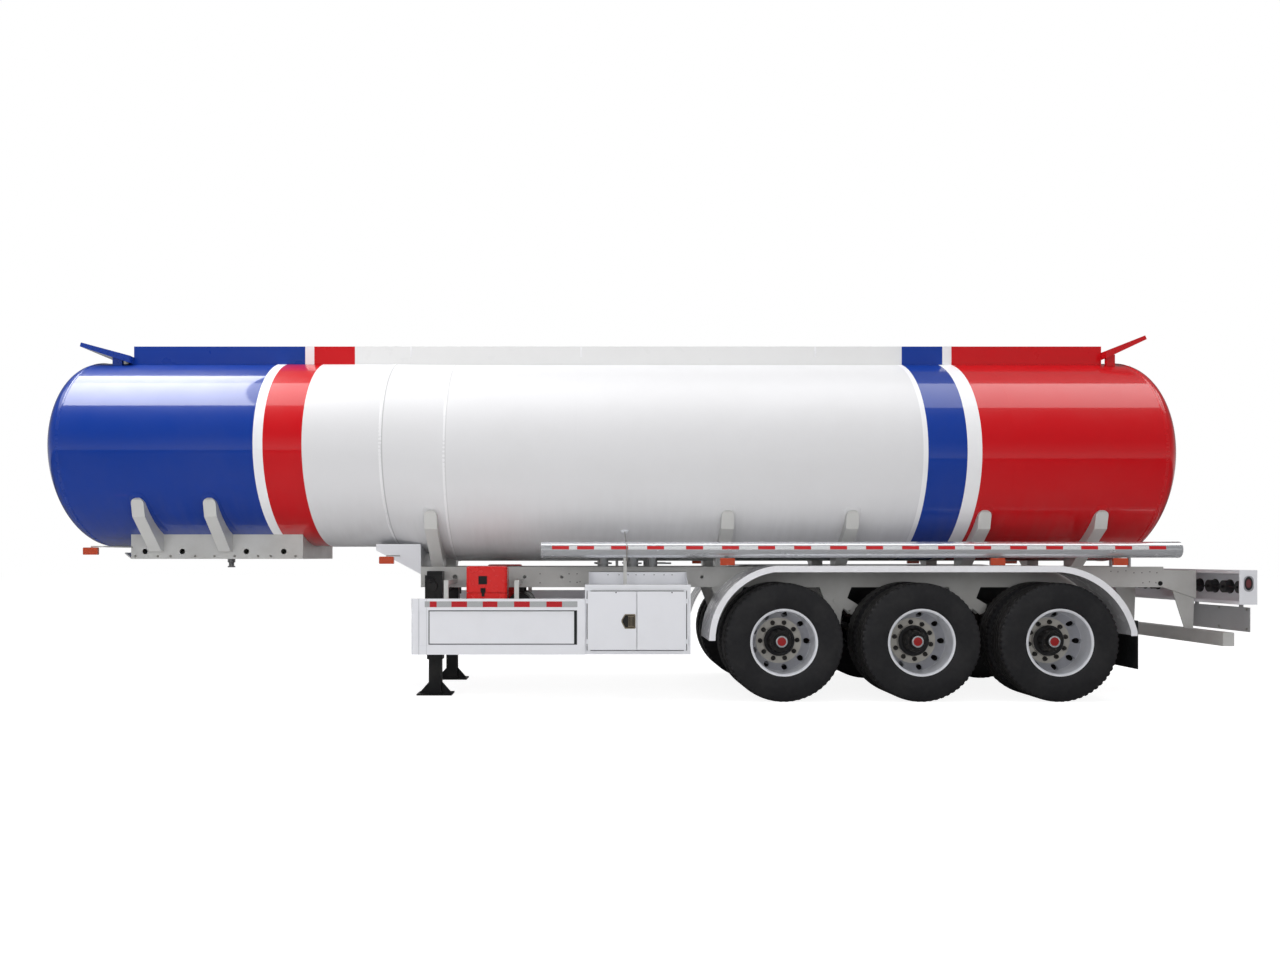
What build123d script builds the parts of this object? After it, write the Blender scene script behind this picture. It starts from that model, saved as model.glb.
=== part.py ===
from build123d import *
import math
import os

# Three-axle road tanker trailer, in millimetres. X runs from the kingpin end (-X) to the tail (+X),
# the left side is -Y, and the ground is Z = 0. Left-hand pieces are drawn and mirrored to the right.

os.makedirs("parts", exist_ok=True)

LEFT = -1
RIGHT = 1
FIT = 0.3                     # clearance between seated curved faces
RUNNING_GAP = 5.0             # clearance round what moves
ON_BASE = (Align.CENTER, Align.CENTER, Align.MIN)

# Tank
HALF_WIDTH = 1250.0
TANK_TOP = 3170.0
FRONT_HEIGHT = 1790.0
REAR_HEIGHT = 1930.0
SHELL_FRONT = -5125.0
SHELL_REAR = 4645.0
CONE_FRONT = -2280.0
CONE_REAR = -1720.0
HEAD_DEPTH = 300.0
BEAD_WIDTH = 14.0
BEAD_PROUD = 4.0

# Roof
GUARD_Y = 450.0
GUARD_TOP = 3280.0
GUARD_SHEET = 6.0
GUARD_FRONT = -4765.0
GUARD_REAR = 4432.0
WALKWAY_SHEET = 5.0
WING_WIDTH = 1100.0
LID_RADIUS = 255.0
LID_THICK = 22.0
COLLAR_RADIUS = 250.0
COLLAR_HEIGHT = 62.0
MANHOLE_X = (-3500.0, -250.0, 2850.0)
VENT_PIPE_RADIUS = 38.0
VENT_PIPE_Y = 345.0

# Main frame
BEAM_OUT = 570.0
BEAM_TOP = 1187.0
BEAM_BOTTOM = 994.0
BEAM_FLANGE = 100.0
BEAM_WEB = 8.0
BEAM_FRONT = -2020.0
BEAM_REAR = 4960.0

BEAM_LIP = 12.0
BEAM_HOLES = ((-1697.0, 24.0), (-1044.0, 16.0), (-694.0, 16.0), (622.0, 16.0))
CROSSMEMBER_X = (-1960.0, -1450.0, -1100.0, 300.0, 830.0, 1879.0, 3092.0, 4150.0, 4900.0)
REAR_SADDLES = (-1860.0, 800.0, 1918.0, 3098.0, 4144.0)
FRONT_SADDLES = (-4478.0, -3834.0)
SADDLE_WIDTH = 112.0
REAR_SADDLE_TOP = 1700.0
FRONT_SADDLE_TOP = 1810.0
SADDLE_BEND = 170.0            # from a saddle's top down to the bend in its outer face
SADDLE_FLARE = 22.0
COUPLER_TOP = TANK_TOP - FRONT_HEIGHT
SKID_BOTTOM = 1260.0
SKID_THICK = 10.0
COUPLER_FRONT = -4730.0
COUPLER_REAR = -3120.0
COUPLER_HALF = 600.0
COUPLER_WEB = 8.0
COUPLER_HOLES = (-4600.0, -4250.0, -3650.0, -3300.0)
KINGPIN_X = -3984.0
KINGPIN_RADIUS = 25.4          # at the waist
KINGPIN_END = 35.7
KINGPIN_SHANK = 36.5
KINGPIN_FLANGE = 60.0
LEG_X = -1870.0
LEG_HALF = 72.0
FOOT_THICK = 14.0
AIR_TANK_X = (-1450.0, -1100.0)
AIR_TANK_Z = 820.0
AIR_TANK_RADIUS = 118.0
AIR_TANK_HALF = 400.0

# Running gear
AXLE_X = (1273.0, 2484.0, 3700.0)
TYRE_RADIUS = 525.0
TYRE_WIDTH = 279.0
TYRE_BORE = 286.0
DUAL_SPACING = 335.0
TREAD_HALF = 104.0
RIM_RADIUS = 298.0
RIM_LIP = 12.0
HAND_HOLES = 9
HAND_HOLE_CIRCLE = 240.0
HAND_HOLE_RADIUS = 25.0
DRUM_RADIUS = 208.0
DRUM_FRONT_Y = -905.0
DRUM_BACK_Y = -700.0
RIM_WIDTH = 238.0
RIM_WALL = 10.0
DISC_THICK = 14.0
NUT_CIRCLE = 335.0
HUB_BORE = 281.0
HUB_CAP_INSET = 117.0         # from the outer rim's edge to the hub cap's face
SPINDLE_RADIUS = 45.0
SPINDLE_END = 1070.0
AXLE_HALF = 690.0
AXLE_SQUARE = 150.0
SPRING_Y = 490.0
SPRING_HALF = 440.0
SPRING_RISE = 60.0
SPRING_WIDTH = 90.0
SPRING_PIN_IN = 28.0          # from a spring's end to the pin that rests on it
SPRING_SIDE_GAP = 6.0
LEAF_HALF_LENGTHS = (SPRING_HALF, SPRING_HALF, 350.0, 260.0, 180.0)
HANGER_LOW = 640.0
HANGER_PLATE = 10.0
HANGER_PIN_RADIUS = 22.0
FOOT_PIN_RADIUS = 16.0
EQUALISER_PLATE = 8.0
EQUALISER_PIN_Z = 870.0
CHAMBER_RADIUS = 80.0
CHAMBER_Y = 300.0
CHAMBER_Z = 640.0
LEAF_THICK = 18.0
SEAT_THICK = 20.0

# Sides
SIDE_Y = HALF_WIDTH
CABINET_FRONT = -478.0
CABINET_REAR = 452.0
CABINET_BOTTOM = 421.0
CABINET_TOP = 1035.0
CABINET_DEPTH = 480.0
CABINET_WALL = 12.0
DOOR_THICK = 18.0
DOOR_GAP = 5.0
SKIRT_FRONT = -2004.0
SKIRT_TOP = 912.0
SKIRT_SHEET = 25.0
SKIRT_STAY_X = (-1700.0, -1080.0)
CABINET_STAY_X = (-380.0, 350.0)
DOOR_FRONT = -455.0
DOOR_REAR = 410.0
DOOR_BOTTOM = 462.0
DOOR_TOP = 976.0
DOOR_LAP = 26.0               # how far a door laps the cabinet's face
HINGE_OUT = 14.0              # from a door's edge to its hinge line
HINGE_PIN = 4.0
OUTLET_X = (-300.0, -13.0, 270.0)
EXT_FRONT = -1525.0
EXT_REAR = -1164.0
EXT_FACE = -1215.0
EXT_BACK = -945.0
EXT_BOTTOM = 560.0
EXT_SPLIT = 960.0
EXT_TOP = 1198.0
EXT_WALL = 8.0
SIDE_ARM_WIDTH = 40.0
TUBE_ARM_X = (800.0, 1918.0, 3098.0, 4144.0)
TUBE_POST_X = -123.0
MUDGUARD_ARM_X = (1240.0, 1800.0, 3000.0, 3640.0)
MUDGUARD_TOP = 1200.0
MUDGUARD_FRONT = 612.0
MUDGUARD_REAR = 4370.0
MUDGUARD_WIDTH = 640.0
MUDGUARD_SHEET = 6.0
MUDGUARD_LIP = 55.0
MARKER_Y = 1220.0
MARKER_X = (775.0, 3151.0, 4231.0)
FRONT_MARKERS = ((-4825.0, 1330.0, COUPLER_FRONT + 8, COUPLER_HALF),
                 (-2223.0, 1250.0, -2223.0, BEAM_OUT))
SIDE_TUBE_RADIUS = 71.0
SIDE_TUBE_Y = 1150.0
SIDE_TUBE_Z = 1343.0
SIDE_TUBE_FRONT = -867.0
SIDE_TUBE_REAR = 4788.0

# Tail
LIGHT_BAR_FRONT = 5268.0
LIGHT_BAR_REAR = 5425.0
LIGHT_BAR_BOTTOM = 859.0
LIGHT_BAR_TOP = 1162.0
LAMP_RADIUS = 56.0
LAMP_Y = (380.0, 630.0, 860.0, 1090.0)
LAMP_Z = 1010.0
LAMP_BOSS = 13.0
LIGHT_BAR_HALF = 1242.0
LIGHT_BAR_SHEET = 8.0
UNDERRUN_X = 5210.0
UNDERRUN_Z = 550.0
UNDERRUN_HEIGHT = 120.0
LADDER_X = 5030.0
LADDER_Y = 400.0
LADDER_HALF = 190.0
LADDER_RAIL = 17.0
LADDER_RUNGS = 7
LADDER_PITCH = 270.0


def save(name, *shapes):
    """Write one node from the solids of the given shapes."""
    solids = [solid for shape in shapes for solid in shape.solids()]
    export_step(Compound(solids), f"parts/{name}.step")


def box(x0, x1, y0, y1, z0, z1):
    """Block between two corners."""
    middle = Pos((x0 + x1) / 2, (y0 + y1) / 2, (z0 + z1) / 2)
    return middle * Box(abs(x1 - x0), abs(y1 - y0), abs(z1 - z0))


def bar(start, end, radius):
    """Round bar between two points."""
    line = Vector(*end) - Vector(*start)
    return Solid.make_cylinder(radius, line.length, Plane(start, z_dir=line))


def side_profile(points, y0, y1):
    """Outline in X and Z, as thick as from y0 to y1."""
    plane = Plane(origin=(0, y0, 0), x_dir=(1, 0, 0), z_dir=(0, -1, 0))
    return extrude(plane * make_face(Polyline(*points, close=True)), amount=y1 - y0, dir=(0, 1, 0))


def cross_profile(points, x0, x1):
    """Outline in Y and Z, as thick as from x0 to x1."""
    plane = Plane(origin=(x0, 0, 0), x_dir=(0, 1, 0), z_dir=(1, 0, 0))
    return extrude(plane * make_face(Polyline(*points, close=True)), amount=x1 - x0, dir=(1, 0, 0))


def turned(profile, axle_x):
    """Ring turned about an axle line, from an outline of (y, radius) points."""
    face = Plane.YZ * make_face(Polyline(*profile, close=True))
    return Pos(axle_x, 0, TYRE_RADIUS) * revolve(face, axis=Axis.Y)


def mirrored(shape):
    """The same piece on the right-hand side."""
    return mirror(shape, about=Plane.XZ)


def pair(shape):
    """A left-hand piece and its mirror image."""
    return [shape, mirrored(shape)]


def tank_middle(height):
    return TANK_TOP - height / 2


def tank_section(height, x, grow=0.0):
    """Elliptical section of the tank at a place along X."""
    plane = Plane(origin=(x, 0, tank_middle(height)), x_dir=(0, 1, 0), z_dir=(1, 0, 0))
    return plane * Ellipse(HALF_WIDTH + grow, height / 2 + grow)


def tank_barrel(grow=0.0):
    """Front barrel, the cone that deepens the belly, and the rear barrel."""
    front = extrude(tank_section(FRONT_HEIGHT, SHELL_FRONT, grow), amount=CONE_FRONT - SHELL_FRONT)
    cone = loft([tank_section(FRONT_HEIGHT, CONE_FRONT, grow),
                 tank_section(REAR_HEIGHT, CONE_REAR, grow)], ruled=True)
    rear = extrude(tank_section(REAR_HEIGHT, CONE_REAR, grow), amount=SHELL_REAR - CONE_REAR)
    return front + cone + rear


def tank_head(x, height, outward):
    """Domed end of the tank, half an ellipsoid."""
    ball = scale(Sphere(HALF_WIDTH), by=(HEAD_DEPTH / HALF_WIDTH, 1, height / 2 / HALF_WIDTH))
    far = HEAD_DEPTH + 1
    half = box(min(0, outward * far), max(0, outward * far),
               -HALF_WIDTH - 1, HALF_WIDTH + 1, -height, height)
    return Pos(x, 0, tank_middle(height)) * (ball & half)


tank_clearance = tank_barrel(FIT)


def roof_guard(side):
    """Side panel of the roof tray, with a folded top lip and a foot on the tank."""
    y = side * GUARD_Y
    inward = -side
    sheet = box(GUARD_FRONT, GUARD_REAR, y, y + inward * GUARD_SHEET, 3080, GUARD_TOP)
    lip = box(GUARD_FRONT, GUARD_REAR, y, y + inward * 30, GUARD_TOP - 8, GUARD_TOP)
    return (sheet + lip) - tank_clearance


def walkway():
    """Flat tread deck down the middle of the roof, cut away round each manhole."""
    deck_z = TANK_TOP + FIT
    half = GUARD_Y - GUARD_SHEET - FIT
    deck = box(GUARD_FRONT, GUARD_REAR, -half, half, deck_z, deck_z + WALKWAY_SHEET)
    for x in MANHOLE_X:
        deck -= Pos(x, 0, deck_z) * Cylinder(COLLAR_RADIUS + 8, 40)
    return deck


def wing(points):
    """Slanted box-section bar across the roof."""
    return side_profile(points, -WING_WIDTH / 2, WING_WIDTH / 2)


def front_wing():
    bar_part = wing([(-5235, 3262), (-5225, 3300), (-4765, 3176), (-4765, 3108)])
    posts = [box(-4940, -4850, y - 20, y + 20, 3060, 3180) for y in (-500, 500)]
    body = bar_part + posts[0] + posts[1]
    roof_cut = box(GUARD_FRONT - FIT, 0, -WING_WIDTH, WING_WIDTH, 3000, 3400)
    return body - tank_clearance - roof_cut


def rear_wing():
    bar_part = wing([(4432, 3150), (4432, 3220), (4800, 3366), (4815, 3330)])
    posts = [box(4450, 4530, y - 20, y + 20, 3060, 3190) for y in (-500, 500)]
    body = bar_part + posts[0] + posts[1]
    roof_cut = box(0, GUARD_REAR + FIT, -WING_WIDTH, WING_WIDTH, 3000, 3400)
    return body - tank_clearance - roof_cut


ROOF_SEAT = TANK_TOP + WALKWAY_SHEET + 2 * FIT
LID_Z = TANK_TOP + COLLAR_HEIGHT + RUNNING_GAP
LID_HINGE_X = LID_RADIUS + 31.0
LID_HINGE_Z = LID_Z + 14.0
PIN_RADIUS = 8.0


def manhole_collar(x):
    """Round neck on the roof, with two lugs and a pin at its rear for the lid."""
    neck = Pos(x, 0, TANK_TOP - 30) * Cylinder(COLLAR_RADIUS, COLLAR_HEIGHT + 30, align=ON_BASE)
    hinge_x = x + LID_HINGE_X
    tie = box(x + COLLAR_RADIUS - 20, hinge_x + 14, -60, 60, ROOF_SEAT, ROOF_SEAT + 14)
    lugs = [box(hinge_x - 14, hinge_x + 14, y - 8, y + 8, ROOF_SEAT, LID_HINGE_Z + 14) for y in (-40, 40)]
    pin = bar((hinge_x, -48, LID_HINGE_Z), (hinge_x, 48, LID_HINGE_Z), PIN_RADIUS)
    return (neck + tie + lugs[0] + lugs[1] + pin) - tank_clearance


def manhole_lid(x):
    """Round cover with a raised middle, and an arm whose eye turns on the collar's pin."""
    cover = Pos(x, 0, LID_Z) * Cylinder(LID_RADIUS, LID_THICK, align=ON_BASE)
    raised = Pos(x, 0, LID_Z + LID_THICK) * Cylinder(110, 16, align=ON_BASE)
    hinge_x = x + LID_HINGE_X
    arm = box(x + 60, hinge_x, -20, 20, LID_Z + 6, LID_Z + LID_THICK + 8)
    eye = bar((hinge_x, -27, LID_HINGE_Z), (hinge_x, 27, LID_HINGE_Z), PIN_RADIUS + 8)
    bore = bar((hinge_x, -60, LID_HINGE_Z), (hinge_x, 60, LID_HINGE_Z), PIN_RADIUS + FIT)
    return cover + raised + arm + eye - bore


def vent_pipe():
    """Vapour pipe along the roof deck, on low feet."""
    z = ROOF_SEAT + VENT_PIPE_RADIUS + 6
    pipe = bar((MANHOLE_X[0] - 400, VENT_PIPE_Y, z), (GUARD_REAR - 150, VENT_PIPE_Y, z), VENT_PIPE_RADIUS)
    for x in MANHOLE_X:
        pipe += box(x - 330, x - 290, VENT_PIPE_Y - 30, VENT_PIPE_Y + 30, ROOF_SEAT, z)
    return pipe


def tank_reach(z, height):
    """Distance from the middle plane out to the tank's side at a height."""
    return HALF_WIDTH * math.sqrt(1 - ((tank_middle(height) - z) / (height / 2)) ** 2)


def saddle(x, top, foot_z, foot_in, foot_out, height):
    """Strip that ties the tank's side down to what carries it, with a rounded top end."""
    reach = tank_reach(top, height)
    outline = [(-foot_in, foot_z), (-foot_out, foot_z), (SADDLE_FLARE - reach, top - SADDLE_BEND),
               (-reach - 16, top - 20), (-reach, top), (-foot_in, top)]
    half = SADDLE_WIDTH / 2
    strip = cross_profile(outline, x - half, x + half)
    crown = Pos(x, 0, top - half) * Rot(90, 0, 0) * Cylinder(half, 4 * HALF_WIDTH)
    lower = box(x - half, x + half, -HALF_WIDTH, 0, foot_z - 1, top - half)
    return (strip & (crown + lower)) - tank_clearance


def coupler():
    """Skid plate with a turned-up nose, under a drilled web frame that reaches the tank."""
    web_foot = SKID_BOTTOM + SKID_THICK
    plate = side_profile([(COUPLER_FRONT - 60, SKID_BOTTOM + 50), (COUPLER_FRONT, SKID_BOTTOM),
                          (COUPLER_REAR, SKID_BOTTOM), (COUPLER_REAR, web_foot),
                          (COUPLER_FRONT + 4, web_foot), (COUPLER_FRONT - 56, SKID_BOTTOM + 60)],
                         -COUPLER_HALF, COUPLER_HALF)
    frame = plate
    for y in (-COUPLER_HALF, -280, 280 - COUPLER_WEB, COUPLER_HALF - COUPLER_WEB):
        frame += box(COUPLER_FRONT, COUPLER_REAR, y, y + COUPLER_WEB, web_foot, tank_middle(FRONT_HEIGHT))
    for x in (COUPLER_FRONT, *FRONT_SADDLES, COUPLER_REAR - COUPLER_WEB):
        frame += box(x, x + COUPLER_WEB, -COUPLER_HALF, COUPLER_HALF, web_foot, tank_middle(FRONT_HEIGHT))
    for x in COUPLER_HOLES:
        frame -= Pos(x, 0, SKID_BOTTOM + 70) * Rot(90, 0, 0) * Cylinder(26, 4 * COUPLER_HALF)
    frame -= Pos(KINGPIN_X, 0, SKID_BOTTOM) * Cylinder(KINGPIN_SHANK + FIT, 4 * SKID_THICK)
    return frame - tank_clearance


def kingpin():
    """Two-inch kingpin through the skid plate: a flange on top, a shank, a waist and a free end."""
    profile = [(0, SKID_THICK + 12), (KINGPIN_FLANGE, SKID_THICK + 12), (KINGPIN_FLANGE, SKID_THICK),
               (KINGPIN_SHANK, SKID_THICK), (KINGPIN_SHANK, -34), (KINGPIN_RADIUS, -38),
               (KINGPIN_RADIUS, -70), (KINGPIN_END, -70), (KINGPIN_END, -84), (0, -84)]
    face = Plane.XZ * make_face(Polyline(*profile, close=True))
    return Pos(KINGPIN_X, 0, SKID_BOTTOM) * revolve(face, axis=Axis.Z)


def belly_fairing():
    """Sloping closed box from the front barrel's belly down to the frame's front end."""
    front = COUPLER_REAR + 680
    rear = BEAM_FRONT - FIT
    outline = [(front, COUPLER_TOP + 20), (front, COUPLER_TOP - 40), (rear, BEAM_TOP - 70),
               (rear, COUPLER_TOP + 20)]
    return side_profile(outline, -BEAM_OUT, BEAM_OUT) - tank_clearance


def frame_beam():
    """Left channel beam, web outwards, with round holes."""
    inner = -BEAM_OUT + BEAM_FLANGE
    beam = box(BEAM_FRONT, BEAM_REAR, -BEAM_OUT, -BEAM_OUT + BEAM_WEB, BEAM_BOTTOM, BEAM_TOP)
    for z in (BEAM_BOTTOM, BEAM_TOP - BEAM_LIP):
        beam += box(BEAM_FRONT, BEAM_REAR, -BEAM_OUT, inner, z, z + BEAM_LIP)
    middle = (BEAM_TOP + BEAM_BOTTOM) / 2
    for x, radius in BEAM_HOLES:
        beam -= Pos(x, -BEAM_OUT, middle) * Rot(90, 0, 0) * Cylinder(radius, 60)
    return beam


CROSSMEMBER_BOTTOM = BEAM_BOTTOM + BEAM_LIP + 6


def crossmember(x):
    """Box member from web to web."""
    half = BEAM_OUT - BEAM_WEB
    return box(x - 40, x + 40, -half, half, CROSSMEMBER_BOTTOM, BEAM_TOP - BEAM_LIP - 6)


SPRING_SEAT_Z = TYRE_RADIUS + AXLE_SQUARE / 2 + SEAT_THICK
STACK_HEIGHT = LEAF_THICK * len(LEAF_HALF_LENGTHS)
SPRING_CURVE = (SPRING_HALF ** 2 + SPRING_RISE ** 2) / (2 * SPRING_RISE)
SPRING_CENTRE_Z = SPRING_SEAT_Z + STACK_HEIGHT + SPRING_CURVE
SPRING_LOW_Y = -SPRING_Y - SPRING_WIDTH / 2
SPRING_HIGH_Y = -SPRING_Y + SPRING_WIDTH / 2


def on_spring(axle_x, radius, angle):
    """Point in X and Z at an angle on a circle about the leaves' common centre."""
    return (axle_x + radius * math.sin(angle), SPRING_CENTRE_Z - radius * math.cos(angle))


def resting_pin(axle_x, from_end, radius):
    """Centre of a pin that rests on the top leaf, that far in from its end (negative: front end)."""
    reach = math.copysign(SPRING_HALF - abs(from_end), from_end)
    return on_spring(axle_x, SPRING_CURVE - radius - FIT, math.asin(reach / SPRING_CURVE))


def leaf_spring(axle_x):
    """Stack of curved leaves that shorten downwards."""
    stack = None
    for number, half in enumerate(LEAF_HALF_LENGTHS):
        inner = SPRING_CURVE + number * LEAF_THICK
        outer = inner + LEAF_THICK
        turn = math.asin(half / inner)
        top = [on_spring(axle_x, inner, angle) for angle in (-turn, 0, turn)]
        low = [on_spring(axle_x, outer, angle) for angle in (turn, 0, -turn)]
        edges = [ThreePointArc(*top), Line(top[2], low[0]), ThreePointArc(*low), Line(low[2], top[0])]
        plane = Plane(origin=(0, SPRING_LOW_Y, 0), x_dir=(1, 0, 0), z_dir=(0, -1, 0))
        leaf = extrude(plane * make_face(edges), amount=SPRING_WIDTH, dir=(0, 1, 0))
        stack = leaf if stack is None else stack + leaf
    return stack


def spring_clamp(axle_x):
    """Top plate, bottom plate and four rods that clamp the spring to the axle."""
    stack_top = SPRING_SEAT_Z + STACK_HEIGHT
    axle_low = TYRE_RADIUS - AXLE_SQUARE / 2
    half_x = AXLE_SQUARE / 2 + 25
    y0 = SPRING_LOW_Y - 28
    y1 = SPRING_HIGH_Y + 28
    clamp = box(axle_x - half_x, axle_x + half_x, y0, y1, stack_top + 3.5, stack_top + 25)
    clamp += box(axle_x - half_x, axle_x + half_x, y0, y1, axle_low - 20 - FIT, axle_low - FIT)
    for x in (axle_x - half_x + 13, axle_x + half_x - 13):
        for y in (y0 + 13, y1 - 13):
            clamp += bar((x, y, axle_low - 45), (x, y, stack_top + 45), 11)
    return clamp


EQUALISER_X = ((AXLE_X[0] + AXLE_X[1]) / 2, (AXLE_X[1] + AXLE_X[2]) / 2)
FRONT_SPRING_PIN = resting_pin(AXLE_X[0], -SPRING_PIN_IN, HANGER_PIN_RADIUS)
REAR_SPRING_PIN = resting_pin(AXLE_X[2], SPRING_PIN_IN, HANGER_PIN_RADIUS)


def hanger(x, pin_z, inner):
    """Spring hanger below the beam: two tapered side plates, a cap, the upper pin and the foot pin."""
    top = BEAM_BOTTOM
    outline = [(x - 150, top), (x + 150, top), (x + 60, HANGER_LOW + 120), (x + 45, HANGER_LOW),
               (x - 45, HANGER_LOW), (x - 60, HANGER_LOW + 120)]
    body = box(x - 140, x + 140, -SPRING_Y - inner, -SPRING_Y + inner, top - 15, top)
    for y in (-SPRING_Y - inner - HANGER_PLATE, -SPRING_Y + inner):
        body += side_profile(outline, y, y + HANGER_PLATE)
    reach = inner + HANGER_PLATE + 12
    for z, radius in ((pin_z, HANGER_PIN_RADIUS), (HANGER_LOW + 40, FOOT_PIN_RADIUS)):
        body += bar((x, -SPRING_Y - reach, z), (x, -SPRING_Y + reach, z), radius)
    return body


def hangers():
    """Front, two middle and rear hangers of the left side."""
    narrow = SPRING_WIDTH / 2 + SPRING_SIDE_GAP
    wide = narrow + EQUALISER_PLATE + 8
    return [hanger(*FRONT_SPRING_PIN, narrow), hanger(EQUALISER_X[0], EQUALISER_PIN_Z, wide),
            hanger(EQUALISER_X[1], EQUALISER_PIN_Z, wide), hanger(*REAR_SPRING_PIN, narrow)]


def equaliser(number):
    """Rocker on the middle hanger's pin, with a bearing bar over each of its two spring ends."""
    x = EQUALISER_X[number]
    inner = SPRING_WIDTH / 2 + SPRING_SIDE_GAP
    outline = [(x - 215, 765), (x - 150, 735), (x - 90, 790), (x + 90, 790), (x + 150, 735),
               (x + 215, 765), (x + 215, 830), (x + 60, 925), (x - 60, 925), (x - 215, 830)]
    body = box(x - 60, x + 60, -SPRING_Y - inner, -SPRING_Y + inner, EQUALISER_PIN_Z - 40, 925)
    for y in (-SPRING_Y - inner - EQUALISER_PLATE, -SPRING_Y + inner):
        body += side_profile(outline, y, y + EQUALISER_PLATE)
    for axle_x, from_end in ((AXLE_X[number], SPRING_PIN_IN), (AXLE_X[number + 1], -SPRING_PIN_IN)):
        bearing_x, bearing_z = resting_pin(axle_x, from_end, FOOT_PIN_RADIUS)
        body += bar((bearing_x, -SPRING_Y - inner - 4, bearing_z),
                    (bearing_x, -SPRING_Y + inner + 4, bearing_z), FOOT_PIN_RADIUS)
    bore = bar((x, -SPRING_Y - 100, EQUALISER_PIN_Z), (x, -SPRING_Y + 100, EQUALISER_PIN_Z),
               HANGER_PIN_RADIUS + FIT)
    return body - bore


def axle(x):
    """Square axle beam with round ends that carry the hubs, and a seat under each spring."""
    square = AXLE_SQUARE / 2
    body = box(x - square, x + square, -AXLE_HALF, AXLE_HALF, TYRE_RADIUS - square, TYRE_RADIUS + square)
    body += bar((x, -SPINDLE_END, TYRE_RADIUS), (x, SPINDLE_END, TYRE_RADIUS), SPINDLE_RADIUS)
    for y in (-SPRING_Y, SPRING_Y):
        half = SPRING_WIDTH / 2
        body += box(x - 60, x + 60, y - half, y + half, TYRE_RADIUS + square, SPRING_SEAT_Z - FIT)
    return body


def brake_chamber(x):
    """Round spring brake canister behind the axle, on its bracket."""
    start = x + AXLE_SQUARE / 2 + 60
    place = Pos(start, -CHAMBER_Y, CHAMBER_Z) * Rot(0, 90, 0)
    can = place * Cylinder(CHAMBER_RADIUS, 220, align=ON_BASE)
    band = place * Pos(0, 0, 100) * Cylinder(CHAMBER_RADIUS + 9, 16, align=ON_BASE)
    bracket = box(x + AXLE_SQUARE / 2, start + 2, -CHAMBER_Y - 50, -CHAMBER_Y + 50, 545, 595)
    return can + band + bracket


def torque_arm(hanger_x, axle_x):
    """Rod from an eye on the hanger's foot pin back to a pad on the axle's front face."""
    eye_z = HANGER_LOW + 40
    y = -SPRING_Y
    pad_x = axle_x - AXLE_SQUARE / 2
    rod = bar((hanger_x, y, eye_z), (pad_x - 30, y, TYRE_RADIUS - 30), 20)
    eye = bar((hanger_x, y - 40, eye_z), (hanger_x, y + 40, eye_z), FOOT_PIN_RADIUS + 17)
    pad = box(pad_x - 50, pad_x, y - 40, y + 40, TYRE_RADIUS - 65, TYRE_RADIUS + 5)
    bore = bar((hanger_x, y - 80, eye_z), (hanger_x, y + 80, eye_z), FOOT_PIN_RADIUS + FIT)
    return rod + eye + pad - bore


OUTER_TYRE_Y = -(HALF_WIDTH - TYRE_WIDTH / 2)
MOUNT_Y = OUTER_TYRE_Y + DUAL_SPACING / 2
INNER_TYRE_Y = OUTER_TYRE_Y + DUAL_SPACING


def tyre(axle_x, y):
    """Tyre section: bead, widest point, shoulder and tread."""
    half = TYRE_WIDTH / 2
    bead = RIM_WIDTH / 2 - RIM_LIP - FIT
    side = [(bead, TYRE_BORE + FIT), (half, 405), (TREAD_HALF, TYRE_RADIUS)]
    section = side + [(-a, radius) for a, radius in reversed(side)]
    return turned([(y + a, radius) for a, radius in section], axle_x)


def rim_section(outward):
    """One rim and its disc, drawn from the mounting plane towards its own side."""
    near = DUAL_SPACING / 2 - RIM_WIDTH / 2
    far = DUAL_SPACING / 2 + RIM_WIDTH / 2
    well = TYRE_BORE - RIM_WALL
    section = [(FIT / 2, HUB_BORE / 2), (FIT / 2, 200), (near + 30, well), (near, TYRE_BORE),
               (near, RIM_RADIUS), (near + RIM_LIP - 4, RIM_RADIUS), (near + RIM_LIP, TYRE_BORE),
               (far - RIM_LIP, TYRE_BORE), (far - RIM_LIP + 4, RIM_RADIUS), (far, RIM_RADIUS),
               (far - 4, well), (near + 62, well - 12), (DISC_THICK, 205), (DISC_THICK, HUB_BORE / 2)]
    return [(MOUNT_Y - outward * y, radius) for y, radius in section]


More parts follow.
